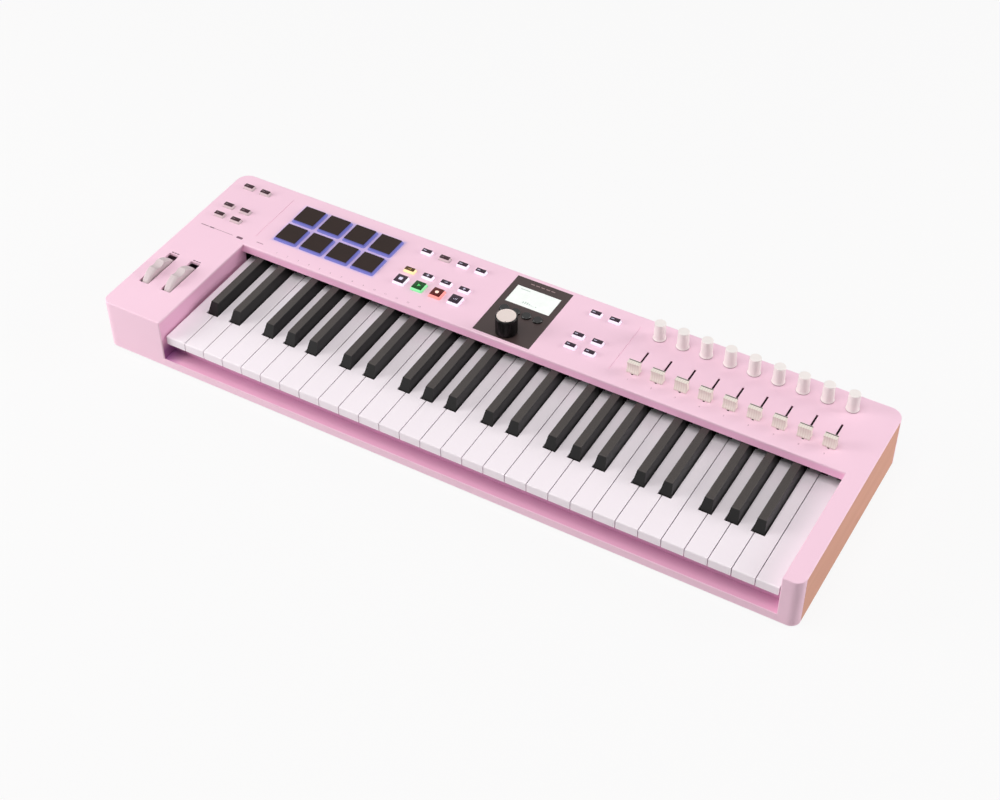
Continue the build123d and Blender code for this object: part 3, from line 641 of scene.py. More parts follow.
@dataclass(frozen=True)
class GlowingPad(Finish):
    """A dark rubber pad whose skirt glows with the lamp under it."""

    rubber: Colour
    skirt: Colour
    glow: Colour
    skirt_top: float
    strength: float = 0.26
    edge: float = 0.1 * MM
    glow_fade: Span = (0.2 * MM, 2.2 * MM)

    def paint(self, graph: Graph) -> None:
        """Paints the rubber over the lit skirt.

        Args:
            graph: the pad's nodes.
        """
        shader = graph.surface(self.rubber, 0.6, 0.2)
        height = graph.axis("Z")
        dark = graph.step(height, self.skirt_top - self.edge, self.skirt_top + self.edge)
        rubber = graph.drifting(self.rubber, 90.0, 0.85)
        graph.join(graph.blend(dark, self.skirt, rubber), shader.inputs["Base Color"])
        shader.inputs["Emission Color"].default_value = (*self.glow, 1)
        lamp = graph.step(height, *(self.skirt_top - depth for depth in self.glow_fade))
        graph.join(graph.math("MULTIPLY", lamp, self.strength), shader.inputs["Emission Strength"])
        graph.bump(graph.noise(1500.0), shader, 0.05 * MM, 0.4)


# The second colour is a painted contact shadow at each knob's foot.
KNOB = Footed("knob cream", srgb(244, 238, 235), srgb(150, 112, 124))
# The shell's pink, with painted shade tones for the well's walls, its trough and the slots, and a painted
# lavender glow round the pads.
PINK = Shell("shell pink", srgb(249, 211, 229), roughness=0.5, drift=0.012, specular=0.4,
             wall=srgb(240, 182, 213), trough_front=srgb(240, 178, 208), trough_rear=srgb(222, 164, 200),
             trough_end=srgb(168, 104, 160), slot=srgb(104, 40, 72), halo=srgb(192, 182, 248))
BASE = Moulded("base grey", srgb(88, 82, 84), roughness=0.65, drift=0.06)
TAN = Grained("side tan", srgb(218, 158, 132), srgb(204, 142, 116))
RUBBER = Moulded("feet rubber", srgb(34, 33, 33), roughness=0.85, drift=0.1, grain=1400.0)
STEEL = Metal("screw steel", srgb(170, 170, 174))
SPRING = Metal("spring steel", srgb(196, 196, 198), roughness=0.25)
PANEL = Moulded("display panel", srgb(64, 51, 50), roughness=0.4, drift=0.05, specular=0.35)
SCREEN = Lit("display screen", srgb(230, 236, 233), srgb(250, 250, 248), 0.24, roughness=0.2)
GUIDE = Lit("pad light", srgb(104, 104, 172), srgb(176, 176, 255), 0.24)
SOCKET = Moulded("socket black", srgb(30, 30, 31), roughness=0.5, drift=0.1)
# The keybed frame is painted a dark plum as shade, to stand for the dark under the keys.
CHASSIS_SHADE = Moulded("chassis painted shade", srgb(120, 60, 104), roughness=0.6, drift=0.08)
CONTACT = Moulded("contact rubber", srgb(120, 118, 122), roughness=0.8, drift=0.08)
WHEEL = Moulded("wheel cream", srgb(208, 194, 196), roughness=0.5, drift=0.02)
KNOB_BLACK = Moulded("encoder black", srgb(8, 7, 7), roughness=0.32, drift=0.1, specular=0.22)
BUTTON_BLACK = Moulded("button black", srgb(12, 11, 11), roughness=0.3, drift=0.1)
WHITE_KEY = Moulded("key white", srgb(248, 240, 246), roughness=0.3, drift=0.01, grain=700.0,
                    grain_depth=0.01 * MM, uneven=0.02)
# The paler first colour is a painted sheen on the keys' tops.
BLACK_KEY = SatinKey("key black", srgb(66, 61, 59), srgb(13, 12, 12), specular=0.3)
# The second colour is painted shade in the ribs' grooves, the third painted shade on the foot in the slot.
FADER = Ribbed("fader cream", srgb(236, 228, 218), srgb(226, 215, 205), srgb(62, 26, 44))
SLOT_LINE = Moulded("index dark", srgb(52, 40, 44), roughness=0.5, drift=0.05)
INK = Moulded("panel ink", srgb(176, 128, 150), roughness=0.6, drift=0.04)
DARK_INK = Moulded("panel dark ink", srgb(122, 86, 104), roughness=0.6, drift=0.04)
SCREEN_INK = Moulded("screen ink", srgb(196, 214, 204), roughness=0.5, drift=0.04)
PANEL_INK = Moulded("display ink", srgb(150, 126, 126), roughness=0.5, drift=0.04)


@dataclass(frozen=True)
class Light:
    """What shows in a lit button: its body, its glow and glow level, its window and its symbol."""

    body: Colour
    glow: Colour
    level: float
    window: Colour
    symbol: Colour


class Lamp(Enum):
    """The lights that a button can have."""

    WHITE = Light(srgb(238, 230, 244), srgb(246, 238, 252), 0.3, srgb(52, 36, 50), srgb(206, 200, 222))
    AMBER = Light(srgb(252, 226, 170), srgb(255, 226, 160), 0.3, srgb(82, 56, 26), srgb(214, 178, 110))
    GREEN = Light(srgb(140, 226, 164), srgb(120, 235, 150), 0.3, srgb(0, 72, 22), srgb(70, 190, 96))
    RED = Light(srgb(250, 158, 150), srgb(255, 130, 120), 0.3, srgb(88, 12, 8), srgb(250, 214, 200))
    OFF = Light(srgb(210, 190, 194), srgb(210, 190, 194), 0.0, srgb(60, 32, 42), srgb(136, 112, 120))


# ---------------------------------------------------------------- mesh work
def nothing_selected() -> None:
    """Leaves edit mode and clears the selection."""
    if bpy.context.object and bpy.context.object.mode != "OBJECT":
        bpy.ops.object.mode_set(mode="OBJECT")
    bpy.ops.object.select_all(action="DESELECT")


def settled() -> Piece:
    """Moves the active object's place, turn and size into its mesh."""
    bpy.ops.object.transform_apply(location=True, rotation=True, scale=True)
    return bpy.context.object


def select_edges(test: Callable[[Vector, Vector], bool]) -> None:
    """Selects edges of the mesh in edit mode.

    Args:
        test: says of an edge's two ends whether it is wanted.
    """
    mesh = bmesh.from_edit_mesh(bpy.context.object.data)
    bpy.context.tool_settings.mesh_select_mode = (False, True, False)
    for edge in mesh.edges:
        edge.select_set(test(edge.verts[0].co, edge.verts[1].co))
    bmesh.update_edit_mesh(bpy.context.object.data)


def select_faces(test: Callable[[Vector], bool]) -> None:
    """Selects faces of the mesh in edit mode.

    Args:
        test: says of a face's normal whether it is wanted.
    """
    mesh = bmesh.from_edit_mesh(bpy.context.object.data)
    bpy.context.tool_settings.mesh_select_mode = (False, False, True)
    for face in mesh.faces:
        face.select_set(test(face.normal))
    bmesh.update_edit_mesh(bpy.context.object.data)


def finished(name: str, finish: bpy.types.Material, body: str) -> Piece:
    """Names the active object, settles its place into its mesh, and lets it ride.

    Args:
        name: the piece's name.
        finish: its material.
        body: the CAD body it rides on.

    Returns:
        The finished piece.
    """
    if bpy.context.object.mode != "OBJECT":
        bpy.ops.object.mode_set(mode="OBJECT")
    piece = settled()
    bpy.ops.object.shade_smooth_by_angle(angle=SMOOTH_ANGLE)
    piece.name = name
    piece.data.name = name
    piece.data.materials.clear()
    piece.data.materials.append(finish)
    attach(piece, body)
    log.info("built %s", name)
    return piece


def slab(low: Point, high: Point, corner: float, rim: float = 0.0) -> Piece:
    """Models a flat plate with rounded corners and, if asked, a softened top rim.

    Args:
        low: its lowest corner.
        high: its highest corner.
        corner: the radius of its upright corners.
        rim: the radius of its top rim.

    Returns:
        The plate, in object mode.
    """
    nothing_selected()
    size = [h - l for l, h in zip(low, high)]
    middle = [(h + l) / 2 for l, h in zip(low, high)]
    bpy.ops.mesh.primitive_cube_add(size=1.0, location=middle)
    bpy.context.object.scale = size
    settled()
    bpy.ops.object.mode_set(mode="EDIT")
    select_edges(lambda a, b: abs(a.z - b.z) > size[2] / 2)
    bpy.ops.mesh.bevel(offset=corner, segments=4, affect="EDGES")
    if rim:
        select_edges(lambda a, b: min(a.z, b.z) > high[2] - size[2] / 100)
        bpy.ops.mesh.bevel(offset=rim, segments=2, affect="EDGES")
    bpy.ops.object.mode_set(mode="OBJECT")
    return bpy.context.object


def bar(foot: Point, width: float, depth: float, height: float, corner: float) -> Piece:
    """Models a flat bar that stands on a point.

    Args:
        foot: the middle of its underside.
        width: its size along X.
        depth: its size along Y.
        height: how high it stands.
        corner: the radius of its upright corners.

    Returns:
        The bar, in object mode.
    """
    x, y, z = foot
    return slab((x - width / 2, y - depth / 2, z), (x + width / 2, y + depth / 2, z + height), corner)


def prism(foot: Point, radius: float, sides: int, height: float, turn: float = 0.0) -> Piece:
    """Models a flat upright prism from a filled ring.

    Args:
        foot: the middle of its underside.
        radius: the ring's radius.
        sides: how many sides it has.
        height: how high it stands.
        turn: its turn about Z in radians.

    Returns:
        The prism, in object mode.
    """
    nothing_selected()
    bpy.ops.mesh.primitive_circle_add(vertices=sides, radius=radius, fill_type="NGON", location=foot,
                                      rotation=(0, 0, turn))
    settled()
    bpy.ops.object.mode_set(mode="EDIT")
    bpy.ops.mesh.select_all(action="SELECT")
    bpy.ops.mesh.extrude_region_move(TRANSFORM_OT_translate={"value": (0, 0, height)})
    bpy.ops.mesh.select_all(action="SELECT")
    bpy.ops.mesh.normals_make_consistent(inside=False)
    bpy.ops.object.mode_set(mode="OBJECT")
    return bpy.context.object


def copy_of(model: Piece, move: Vector) -> Piece:
    """Copies a model with its own mesh and makes the copy active.

    Args:
        model: the piece to copy.
        move: how far the copy stands from it.

    Returns:
        The copy.
    """
    nothing_selected()
    piece = bpy.data.objects.new(model.name, model.data.copy())
    bpy.context.scene.collection.objects.link(piece)
    piece.location = move
    piece.select_set(True)
    bpy.context.view_layer.objects.active = piece
    return piece


def joined(pieces: Iterable[Piece]) -> Piece:
    """Joins pieces into one and makes it active.

    Args:
        pieces: the pieces to join.

    Returns:
        The joined piece.
    """
    nothing_selected()
    for piece in pieces:
        piece.select_set(True)
        bpy.context.view_layer.objects.active = piece
    bpy.ops.object.join()
    return bpy.context.object


def printed(name: str, marks: Iterable[Piece], ink: bpy.types.Material) -> None:
    """Joins marks into one printed piece on the case.

    Args:
        name: the piece's name.
        marks: the marks it is made of.
        ink: its material.
    """
    joined(marks)
    finished(name, ink, "case")


def numeral(number: int, middle: Point, height: float, thickness: float) -> Piece:
    """Models one printed number.

    Args:
        number: the number.
        middle: its middle.
        height: the letters' full height, with the room under the line.
        thickness: how thick the print is.

    Returns:
        The number as a mesh.
    """
    nothing_selected()
    bpy.ops.object.text_add(location=middle)
    words = bpy.context.object.data
    words.body = str(number)
    words.size = height
    words.align_x = "CENTER"
    words.align_y = "CENTER"
    words.extrude = thickness / 2
    words.resolution_u = 2
    bpy.ops.object.convert(target="MESH")
    return settled()


def middle_of(node: str) -> Vector:
    """The middle of a CAD node's box, at the height of its top."""
    low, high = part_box(node)
    return Vector(((low.x + high.x) / 2, (low.y + high.y) / 2, high.z))


def root_of(owner: dict[tuple, tuple], corner: tuple) -> tuple:
    """Follows a corner to the one that stands for its whole face.

    Args:
        owner: which corner each corner belongs to.
        corner: where to start.

    Returns:
        The corner that belongs to itself.
    """
    while owner[corner] != corner:
        corner = owner[corner]
    return corner


def crests(node: str, depth: float = 0.2 * MM) -> list[tuple[Vector, Vector]]:
    """Finds the separate top faces of a CAD node that holds several solids.

    Args:
        node: the node's name.
        depth: how far below the node's top a face still counts.

    Returns:
        Each top face's lowest and highest corner, rear rows first and left to right.
    """
    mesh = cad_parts[node].data
    floor = max(v.co.z for v in mesh.vertices) - depth
    owner: dict[tuple, tuple] = {}
    for face in mesh.polygons:
        corners = [tuple(round(c, 6) for c in mesh.vertices[i].co) for i in face.vertices]
        if min(c[2] for c in corners) < floor:
            continue
        for corner in corners:
            owner.setdefault(corner, corner)
        for corner in corners[1:]:
            owner[root_of(owner, corner)] = root_of(owner, corners[0])
    groups: dict[tuple, list[tuple]] = {}
    for corner in owner:
        groups.setdefault(root_of(owner, corner), []).append(corner)
    boxes = []
    for group in groups.values():
        columns = list(zip(*group))
        boxes.append((Vector([min(c) for c in columns]), Vector([max(c) for c in columns])))
    return sorted(boxes, key=lambda b: (-round(b[1].y, 3), b[0].x))


# ---------------------------------------------------------------- dressing of CAD nodes
def wear(nodes: Iterable[str], material: bpy.types.Material) -> None:
    """Puts a material on CAD nodes.

    Args:
        nodes: the nodes' names.
        material: what they wear.
    """
    for name in nodes:
        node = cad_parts[name]
        node.data.materials.clear()
        node.data.materials.append(material)
        log.info("dressed %s in %s", name, material.name)


@dataclass
class Case:
    """The shell, its sides, base, feet, screws and everything inside that stays still."""

    board_thickness: float = 1.6 * MM

    def dress(self) -> None:
        """Gives each fixed node its finish."""
        laminate_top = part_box("control_board")[0].z + self.board_thickness
        board = Populated("board green", srgb(24, 96, 52), srgb(26, 22, 25), laminate_top)
        finishes = {"top_case": PINK, "bottom_case": BASE, "rubber_feet": RUBBER, "case_screws": STEEL,
                    "key_springs": SPRING, "control_board": board, "rear_sockets": SOCKET,
                    "keybed_frame": CHASSIS_SHADE, "key_contact_strip": CONTACT}
        for node, finish in finishes.items():
            wear([node], finish.build())
        wear(["side_panel_left", "side_panel_right"], TAN.build())


@dataclass
class Keys:
    """The white and black keys."""

    white: tuple[str, ...] = ("c", "d", "e", "f", "g", "a", "b")
    black: tuple[str, ...] = ("c", "d", "f", "g", "a")

    def dress(self) -> None:
        """Gives the white keys their gloss plastic and the black keys their plastic with a painted sheen on
        top.
        """
        wear(["keys_" + note for note in self.white], WHITE_KEY.build())
        wear(["keys_" + note + "_sharp" for note in self.black], BLACK_KEY.build())


class Symbol(Enum):
    """Plain symbols on button windows."""

    BAR = "bar"
    PLUS = "plus"
    SQUARE = "square"
    TRIANGLE = "triangle"
    CIRCLE = "circle"
    STEPS = "steps"


@dataclass
class SymbolMaker:
    """Models the thin light symbols that show through a button's window."""

    thickness: float = 0.05 * MM
    stroke: float = 0.7 * MM
    corner_share: float = 0.35
    step_shares: tuple[float, ...] = (0.45, 0.7, 1.0)

    def make(self, symbol: Symbol, middle: Vector, size: float) -> Piece:
        """Models a symbol.

        Args:
            symbol: which symbol.
            middle: where its middle lies, on the window.
            size: its width.

        Returns:
            The symbol, in object mode.
        """
        half = size / 2
        if symbol is Symbol.CIRCLE:
            return prism(middle, half, 28, self.thickness)
        if symbol is Symbol.TRIANGLE:
            return prism(middle, half * 1.15, 3, self.thickness, -math.pi / 2)
        if symbol is Symbol.PLUS:
            return self.plus(middle, half)
        if symbol is Symbol.STEPS:
            return self.steps(middle, half)
        depth = size if symbol is Symbol.SQUARE else self.stroke
        return bar(middle, size, depth, self.thickness, depth / 2 * self.corner_share)

    def plus(self, middle: Vector, half: float) -> Piece:
        """Models a cross by pulling the four sides of a small square outwards.

        Args:
            middle: where its middle lies, on the window.
            half: half its width.

        Returns:
            The cross, in object mode.
        """
        nothing_selected()
        bpy.ops.mesh.primitive_cube_add(size=1.0, location=middle + Vector((0, 0, self.thickness / 2)))
        bpy.context.object.scale = (self.stroke, self.stroke, self.thickness)
        settled()
        bpy.ops.object.mode_set(mode="EDIT")
        select_faces(lambda normal: abs(normal.z) < 0.5)
        bpy.ops.mesh.extrude_faces_move(TRANSFORM_OT_shrink_fatten={"value": half - self.stroke / 2})
        bpy.ops.object.mode_set(mode="OBJECT")
        return bpy.context.object

    def steps(self, middle: Vector, half: float) -> Piece:
        """Models three upright bars that grow to the right.

        Args:
            middle: where their middle lies, on the window.
            half: half their width.

        Returns:
            The bars, joined.
        """
        width, foot = self.stroke * 0.6, middle.y - half * 0.6
        bars = []
        for index, share in enumerate(self.step_shares):
            x, depth = middle.x + (index - 1) * half * 0.75, half * 1.3 * share
            bars.append(bar((x, foot + depth / 2, middle.z), width, depth, self.thickness, self.stroke * 0.1))
        return joined(bars)


@dataclass
class ButtonBank:
    """One group of lit buttons: translucent bodies, smoked windows and light symbols."""

    node: str
    lamps: tuple[Lamp, ...]
    symbols: tuple[Symbol, ...]
    window_height: float = 0.35 * MM
    window_corner: float = 0.5 * MM
    window_rim: float = 0.15 * MM
    skirt: float = 2.2 * MM
    large_depth: float = 8.0 * MM
    large_symbol: float = 4.2 * MM
    small_symbol: float = 3.2 * MM
    small_shift: float = 2.4 * MM
    mark_level: float = 0.35

    def build(self) -> None:
        """Dresses the bodies, then builds a window and a symbol on each button."""
        tops = crests(self.node)
        wear([self.node], self.body_material(tops))
        kinds = dict.fromkeys(self.lamps)
        windows = {lamp: self.window_material(lamp) for lamp in kinds}
        marks = {lamp: self.mark_material(lamp) for lamp in kinds}
        maker = SymbolMaker()
        for number, ((low, high), lamp, symbol) in enumerate(zip(tops, self.lamps, self.symbols), 1):
            roof = high.z + self.window_height
            slab((low.x, low.y, high.z), (high.x, high.y, roof), self.window_corner, self.window_rim)
            finished(f"{self.node}_window_{number}", windows[lamp], self.node)
            large = high.y - low.y > self.large_depth
            middle = Vector(((low.x + high.x) / 2, (low.y + high.y) / 2, roof))
            if not large and symbol is Symbol.BAR:
                middle.x -= self.small_shift
            maker.make(symbol, middle, self.large_symbol if large else self.small_symbol)
            finished(f"{self.node}_mark_{number}", marks[lamp], self.node)

    def body_material(self, tops: list[tuple[Vector, Vector]]) -> bpy.types.Material:
        """Makes one material for the group, with each button's own light in its place.

        Args:
            tops: each button's top face.

        Returns:
            The material.
        """
        graph = Graph(self.node + " body")
        usual = max(self.lamps, key=self.lamps.count)
        light = usual.value
        shader = graph.surface(light.body, 0.4)
        tone = graph.cloud(300.0, 2.0)
        colour = graph.blend(tone, scaled(light.body, 0.95), light.body)
        glow = graph.blend(tone, scaled(light.glow, light.level * 0.92), scaled(light.glow, light.level))
        reach = Vector((self.skirt, self.skirt, 0))
        for (low, high), lamp in zip(tops, self.lamps):
            if lamp is usual:
                continue
            own = graph.inside(low - reach, high + reach)
            colour = graph.blend(own, colour, lamp.value.body)
            glow = graph.blend(own, glow, scaled(lamp.value.glow, lamp.value.level))
        graph.join(colour, shader.inputs["Base Color"])
        graph.join(glow, shader.inputs["Emission Color"])
        shader.inputs["Emission Strength"].default_value = 1.0
        graph.bump(graph.noise(1800.0), shader, 0.03 * MM, 0.3)
        return graph.material

    def window_material(self, lamp: Lamp) -> bpy.types.Material:
        """Smoked gloss in the lamp's tint."""
        name = f"{self.node} window {lamp.name.lower()}"
        return Moulded(name, lamp.value.window, 0.28, 0.08, 900.0, 0.01 * MM, 0.22).build()

    def mark_material(self, lamp: Lamp) -> bpy.types.Material:
        """A light symbol in the lamp's colour."""
        level, colour = (0.0 if lamp is Lamp.OFF else self.mark_level), lamp.value.symbol
        return Lit(f"{self.node} mark {lamp.name.lower()}", colour, colour, level).build()


@dataclass
class Pads:
    """Eight dark pads over a glowing guide."""

    count: int = 8
    skirt_share: float = 0.84

    def dress(self) -> None:
        """Gives the pads rubber tops and glowing skirts, and the guide its light."""
        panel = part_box("top_case")[1].z
        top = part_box("pad_1")[1].z
        skirt_top = panel + (top - panel) * self.skirt_share
        pad = GlowingPad("pad rubber", srgb(40, 27, 23), srgb(104, 106, 168), srgb(170, 170, 255), skirt_top)
        wear([f"pad_{i}" for i in range(1, self.count + 1)], pad.build())
        wear(["pad_light_guide"], GUIDE.build())


@dataclass
class Display:
    """The dark panel with its screen, buttons and main knob."""

    disc_radius: float = 10.05 * MM
    disc_sunk: float = 0.6 * MM
    disc_proud: float = 0.1 * MM
    disc_edge: float = 0.08 * MM
    rim: float = 1.1 * MM
    dish: float = 0.22 * MM
    face_inset: float = 4.4 * MM
    dot_radius: float = 0.55 * MM
    dot_reach: float = 9.518 * MM
    dot_bearing: float = -68.0
    mark_height: float = 0.03 * MM
    screen_front: float = 41.35 * MM  # from the panel's rear edge to the front of its window
    level_count: int = 7
    level_pitch: float = 2.5 * MM
    level_width: float = 1.4 * MM
    level_front: float = 5.0 * MM
    heading_left: float = -14.5 * MM
    heading_front: float = 24.5 * MM
    title_count: int = 5
    title_pitch: float = 6.0 * MM
    title_rear: float = 5.9 * MM

    def build(self) -> None:
        """Dresses the nodes and builds the knob's disc and the plain marks."""
        finishes = {"display_glass": PANEL, "lcd_module": SCREEN, "display_buttons": BUTTON_BLACK,
                    "main_knob": KNOB_BLACK}
        for node, finish in finishes.items():
            wear([node], finish.build())
        self.disc()
        self.screen_marks()
        self.title_bars()

    def disc(self) -> None:
        """Builds the cream disc with a raised rim that is let into the main knob, and a dark dot of painted
        shade on the rim.
        """
        top = middle_of("main_knob")
        prism(top - Vector((0, 0, self.disc_sunk)), self.disc_radius, 72, self.disc_sunk + self.disc_proud)
        bpy.ops.object.mode_set(mode="EDIT")
        select_faces(lambda normal: normal.z > 0.9)
        bpy.ops.mesh.inset(thickness=self.rim)
        bpy.ops.mesh.inset(thickness=self.dish, depth=-self.dish)
        bpy.ops.mesh.inset(thickness=self.face_inset)
        select_edges(lambda a, b: min(a.z, b.z) > top.z + self.disc_proud / 2)
        bpy.ops.mesh.bevel(offset=self.disc_edge, segments=2, affect="EDGES")
        cream = Turned("knob disc", srgb(236, 222, 216), tuple(top))
        finished("main_knob_disc", cream.build(), "main_knob")
        # The dark dot is painted shade on the rim.
        bearing = math.radians(self.dot_bearing)
        aside = self.dot_reach * Vector((math.cos(bearing), math.sin(bearing), 0))
        prism(top + aside + Vector((0, 0, self.disc_proud)), self.dot_radius, 16, self.mark_height)
        finished("main_knob_shade_dot", SLOT_LINE.build(), "main_knob")

    def screen_marks(self) -> None:
        """Draws a faint plain row of levels and a heading bar on the screen."""
        middle = middle_of("lcd_module")
        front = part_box("display_glass")[1].y - self.screen_front
        marks = []
        for index in range(self.level_count):
            x = middle.x + (index - (self.level_count - 1) / 2) * self.level_pitch
            depth = (2.0 + 1.6 * math.sin(index * 0.9 + 0.4)) * MM
            foot = (x, front + self.level_front + depth / 2, middle.z)
            marks.append(bar(foot, self.level_width, depth, self.mark_height, 0.2 * MM))
        foot = (middle.x + self.heading_left, front + self.heading_front, middle.z)
        marks.append(bar(foot, 11.0 * MM, 1.0 * MM, self.mark_height, 0.2 * MM))
        printed("screen_marks", marks, SCREEN_INK.build())

    def title_bars(self) -> None:
        """Draws a plain row of bars behind the screen."""
        low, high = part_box("display_glass")
        middle = (low.x + high.x) / 2
        bars = []
        for index in range(self.title_count):
            x = middle + (index - (self.title_count - 1) / 2) * self.title_pitch
            foot = (x, high.y - self.title_rear, high.z)
            bars.append(bar(foot, 4.4 * MM, 1.2 * MM, self.mark_height, 0.3 * MM))
        printed("display_title_bars", bars, PANEL_INK.build())


@dataclass
class Knobs:
    """Nine turning knobs, and nine faders with a dark index line."""

    count: int = 9
    line_width: float = 12.9 * MM
    line_depth: float = 1.0 * MM
    line_height: float = 0.4 * MM
    line_shift: float = 2.2 * MM
    line_sunk: float = 0.3 * MM
    line_corner: float = 0.15 * MM

    def build(self) -> None:
        """Dresses the caps and lays an index line in each fader's groove."""
        numbers = range(1, self.count + 1)
        wear([f"knob_{i}" for i in numbers], KNOB.build())
        wear([f"fader_{i}" for i in numbers], FADER.build())
        ink = SLOT_LINE.build()
        first = middle_of("fader_1")
        foot = first + Vector((0, self.line_shift, -self.line_sunk))
        model = bar(foot, self.line_width, self.line_depth, self.line_height, self.line_corner)
        for i in numbers:
            copy_of(model, middle_of(f"fader_{i}") - first)
            finished(f"fader_{i}_line", ink, f"fader_{i}")
        bpy.data.objects.remove(model, do_unlink=True)


@dataclass
class Wheels:
    """The pitch and modulation wheels."""

    nodes: tuple[str, ...] = ("pitch_wheel", "mod_wheel")

    def dress(self) -> None:
        """Gives both wheels their cream plastic."""
        wear(self.nodes, WHEEL.build())


@dataclass(frozen=True)
class Mark:
    """A printed bar: its middle from the case's front left corner, and its size."""

    x: float
    y: float
    width: float
    depth: float


@dataclass
class Printing:
    """Thin generic print on the panel: numbers, bars and a fine line."""

    thickness: float = 0.03 * MM
    sink: float = 0.01 * MM
    corner_share: float = 0.3
    key_number: Point = (113.0 * MM, 152.75 * MM, 0.0)
    key_pitch: float = 13.65 * MM
    key_count: int = 14
    key_height: float = 3.08 * MM
    label: Mark = Mark(88.0 * MM, 157.25 * MM, 8.6 * MM, 1.0 * MM)
    fader_count: int = 9
    fader_shift: float = -0.6 * MM
    fader_gap: float = 12.8 * MM
    fader_height: float = 3.22 * MM
    wheel_gap: float = 3.4 * MM
    wheel_pitch: float = 3.4 * MM
    line: tuple[Mark, ...] = (Mark(34.0 * MM, 153.95 * MM, 42.0 * MM, 0.6 * MM),
                              Mark(17.9 * MM, 153.95 * MM, 9.0 * MM, 1.0 * MM))
    blocks: tuple[Mark, ...] = (Mark(27.5 * MM, 153.95 * MM, 5.4 * MM, 1.5 * MM),
                                Mark(63.8 * MM, 153.95 * MM, 7.6 * MM, 3.2 * MM))

    def build(self) -> None:
        """Prints every group of marks."""
        ink = INK.build()
        dark = DARK_INK.build()
        printed("print_key_numbers", [*self.key_numbers(), self.stroke(self.label)], ink)
        printed("print_fader_numbers", self.fader_numbers(), ink)
        printed("print_wheel_marks", self.wheel_marks(), dark)
        printed("print_left_line", [self.stroke(mark) for mark in self.line], ink)
        printed("print_left_blocks", [self.stroke(mark) for mark in self.blocks], dark)

    def corner(self) -> Vector:
        """The case's front left corner, at the height of the print's underside."""
        low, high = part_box("top_case")
        return Vector((low.x, low.y, high.z - self.sink))

    def stroke(self, mark: Mark) -> Piece:
        """Models a printed bar with soft corners.

        Args:
            mark: its place and size.

        Returns:
            The bar, in object mode.
        """
        foot = self.corner() + Vector((mark.x, mark.y, 0))
        corner = min(mark.width, mark.depth) * self.corner_share
        return bar(foot, mark.width, mark.depth, self.thickness, corner)

    def key_numbers(self) -> list[Piece]:
        """Models the numbers along the keys.

        Returns:
            The numbers, from the left.
        """
        first, step = self.corner() + Vector(self.key_number), Vector((self.key_pitch, 0, 0))
        return [numeral(i + 1, first + i * step, self.key_height, self.thickness * 2)
                for i in range(self.key_count)]

    def fader_numbers(self) -> list[Piece]:
        """Models a number in front of each fader.

        Returns:
            The numbers, from the left.
        """
        numbers = []
        for i in range(1, self.fader_count + 1):
            spot = middle_of(f"fader_{i}") + Vector((self.fader_shift, -self.fader_gap, 0))
            spot.z = self.corner().z
            numbers.append(numeral(i, spot, self.fader_height, self.thickness * 2))
        return numbers

    def wheel_marks(self) -> list[Piece]:
        """Models three short bars behind each wheel's slot.

        Returns:
            The bars of both wheels.
        """
        corner = self.corner()
        marks = []
        for node in Wheels().nodes:
            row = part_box(node)[1].y + self.wheel_gap - corner.y
            for step in (-1, 0, 1):
                x = middle_of(node).x + step * self.wheel_pitch - corner.x
                marks.append(self.stroke(Mark(x, row, 2.7 * MM, 1.4 * MM)))
        return marks


# ---------------------------------------------------------------- studio
def direct_rays(tree: bpy.types.NodeTree) -> Socket:
    """Adds the mask of the rays that see a backdrop by eye, in a mirror or through glass.

    Args:
        tree: the world's or the floor's nodes.

    Returns:
        One for such a ray, and nothing for light that falls on the object.
    """
    path = tree.nodes.new("ShaderNodeLightPath")
    seen = path.outputs["Is Camera Ray"]
    for kind in ("Is Glossy Ray", "Is Transmission Ray"):
        either = tree.nodes.new("ShaderNodeMath")
        either.operation = "MAXIMUM"
        tree.links.new(seen, either.inputs[0])
        tree.links.new(path.outputs[kind], either.inputs[1])
        seen = either.outputs[0]
    return seen


@dataclass(frozen=True)
class Softbox:
    """A square soft lamp that faces the object: bearing from +X and height in degrees, metres and watts."""

    name: str
    azimuth: float
    elevation: float
    distance: float
    size: float
    power: float
    tint: Colour = (1.0, 0.985, 0.975)

    def build(self) -> None:
        """Places the lamp and turns it to the object."""
        flat, up = math.radians(self.azimuth), math.radians(self.elevation)
        bearing = Vector((math.cos(up) * math.cos(flat), math.cos(up) * math.sin(flat), math.sin(up)))
        data = bpy.data.lights.new(self.name, "AREA")
        data.size = self.size
        data.energy = self.power
        data.color = self.tint
        lamp = bpy.data.objects.new(self.name, data)
        lamp.location = self.distance * bearing
        lamp.rotation_euler = (-bearing).to_track_quat("-Z", "Y").to_euler()
        bpy.context.scene.collection.objects.link(lamp)
        log.info("lamp %s", self.name)


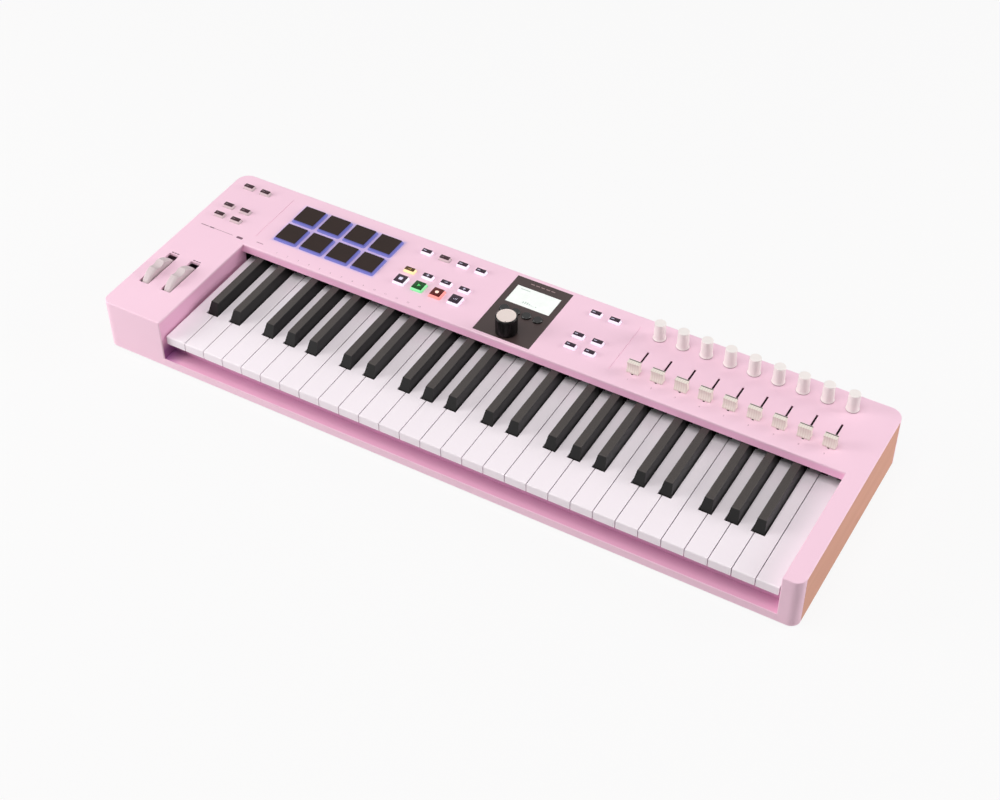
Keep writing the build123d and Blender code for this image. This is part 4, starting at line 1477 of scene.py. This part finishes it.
@dataclass
class Studio:
    """The camera, the white sky, the pale floor and the soft lamps."""

    eye: Point = (0.67225, -1.13885, 1.2646)
    yaw: float = 30.11852664
    pitch: float = 46.22262383
    roll: float = -0.39035629
    lens: float = 64.6716
    sensor: float = 36.0
    view_reach: float = 100.0
    sky_tint: Colour = (1.0, 0.98, 1.0)
    sky_level: float = 0.22
    floor_size: float = 30.0
    floor_gap: float = 0.2 * MM
    floor_colour: Colour = (0.64, 0.62, 0.62)
    floor_share: float = 0.9  # how much of its white the floor shows; the rest takes the shadow
    lamps: tuple[Softbox, ...] = (Softbox("left_lamp", -150.0, 20.0, 2.2, 1.1, 27.0),
                                  Softbox("right_lamp", 28.0, 20.0, 2.2, 1.0, 21.0),
                                  Softbox("top_lamp", -90.0, 75.0, 2.4, 1.6, 29.0))

    def build(self) -> None:
        """Makes the camera, world, floor and lamps."""
        self.camera()
        self.world()
        self.floor()
        for lamp in self.lamps:
            lamp.build()
        bpy.context.scene.view_settings.view_transform = "Standard"

    def camera(self) -> None:
        """Places the camera and makes it the scene's own."""
        data = bpy.data.cameras.new("camera")
        data.lens = self.lens
        data.sensor_width = self.sensor
        data.clip_end = self.view_reach
        camera = bpy.data.objects.new("camera", data)
        place = Matrix.Translation(self.eye)
        for angle, axis in ((self.yaw, "Z"), (self.pitch, "X"), (self.roll, "Z")):
            place @= Matrix.Rotation(math.radians(angle), 4, axis)
        camera.matrix_world = place
        bpy.context.scene.collection.objects.link(camera)
        bpy.context.scene.camera = camera

    def world(self) -> None:
        """Makes a white sky that lights softly and shows white behind the object."""
        world = bpy.data.worlds.new("sky")
        world.use_nodes = True
        tree = world.node_tree
        tree.nodes.clear()
        mix = tree.nodes.new("ShaderNodeMixShader")
        tree.links.new(direct_rays(tree), mix.inputs[0])
        for slot, tint, level in ((1, self.sky_tint, self.sky_level), (2, (1.0, 1.0, 1.0), 1.0)):
            sky = tree.nodes.new("ShaderNodeBackground")
            sky.inputs["Color"].default_value = (*tint, 1)
            sky.inputs["Strength"].default_value = level
            tree.links.new(sky.outputs[0], mix.inputs[slot])
        output = tree.nodes.new("ShaderNodeOutputWorld")
        tree.links.new(mix.outputs[0], output.inputs["Surface"])
        bpy.context.scene.world = world

    def floor(self) -> None:
        """Lays a pale floor that shows white and keeps a soft shadow."""
        nothing_selected()
        bpy.ops.mesh.primitive_plane_add(size=self.floor_size, location=(0, 0, -self.floor_gap))
        floor = bpy.context.object
        floor.name = "floor"
        graph = Graph("floor white")
        plain = graph.add("ShaderNodeBsdfDiffuse")
        plain.inputs["Color"].default_value = (*self.floor_colour, 1)
        white = graph.add("ShaderNodeEmission")
        white.inputs["Strength"].default_value = 1.0
        mix = graph.add("ShaderNodeMixShader")
        graph.join(graph.math("MULTIPLY", direct_rays(graph.tree), self.floor_share), mix.inputs[0])
        graph.join(plain.outputs[0], mix.inputs[1])
        graph.join(white.outputs[0], mix.inputs[2])
        graph.join(mix.outputs[0], graph.output.inputs["Surface"])
        floor.data.materials.append(graph.material)


# ---------------------------------------------------------------- making
def button_banks() -> list[ButtonBank]:
    """Lists the groups of buttons with their lights and symbols.

    Returns:
        The four groups.
    """
    bars = (Symbol.BAR,) * 6
    upper = (Symbol.STEPS, Symbol.PLUS, Symbol.STEPS, Symbol.PLUS)
    lower = (Symbol.SQUARE, Symbol.TRIANGLE, Symbol.CIRCLE, Symbol.STEPS)
    modes = (Lamp.AMBER, Lamp.WHITE, Lamp.WHITE, Lamp.WHITE)
    transport = (Lamp.WHITE, Lamp.GREEN, Lamp.RED, Lamp.WHITE)
    return [
        ButtonBank("left_buttons", (Lamp.OFF,) * 6, bars),
        ButtonBank("right_buttons", (Lamp.WHITE,) * 6, bars),
        ButtonBank("function_buttons", (Lamp.WHITE, Lamp.OFF, Lamp.WHITE, Lamp.WHITE), bars[:4]),
        ButtonBank("transport_buttons", modes + transport, upper + lower),
    ]


def main() -> None:
    """Builds the classes in order and reports each piece."""
    logging.basicConfig(level=logging.INFO, format="%(message)s")
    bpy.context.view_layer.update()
    Studio().build()
    Case().dress()
    Keys().dress()
    Pads().dress()
    Display().build()
    Knobs().build()
    Wheels().dress()
    for bank in button_banks():
        bank.build()
    Printing().build()


if __name__ == "__main__":
    main()
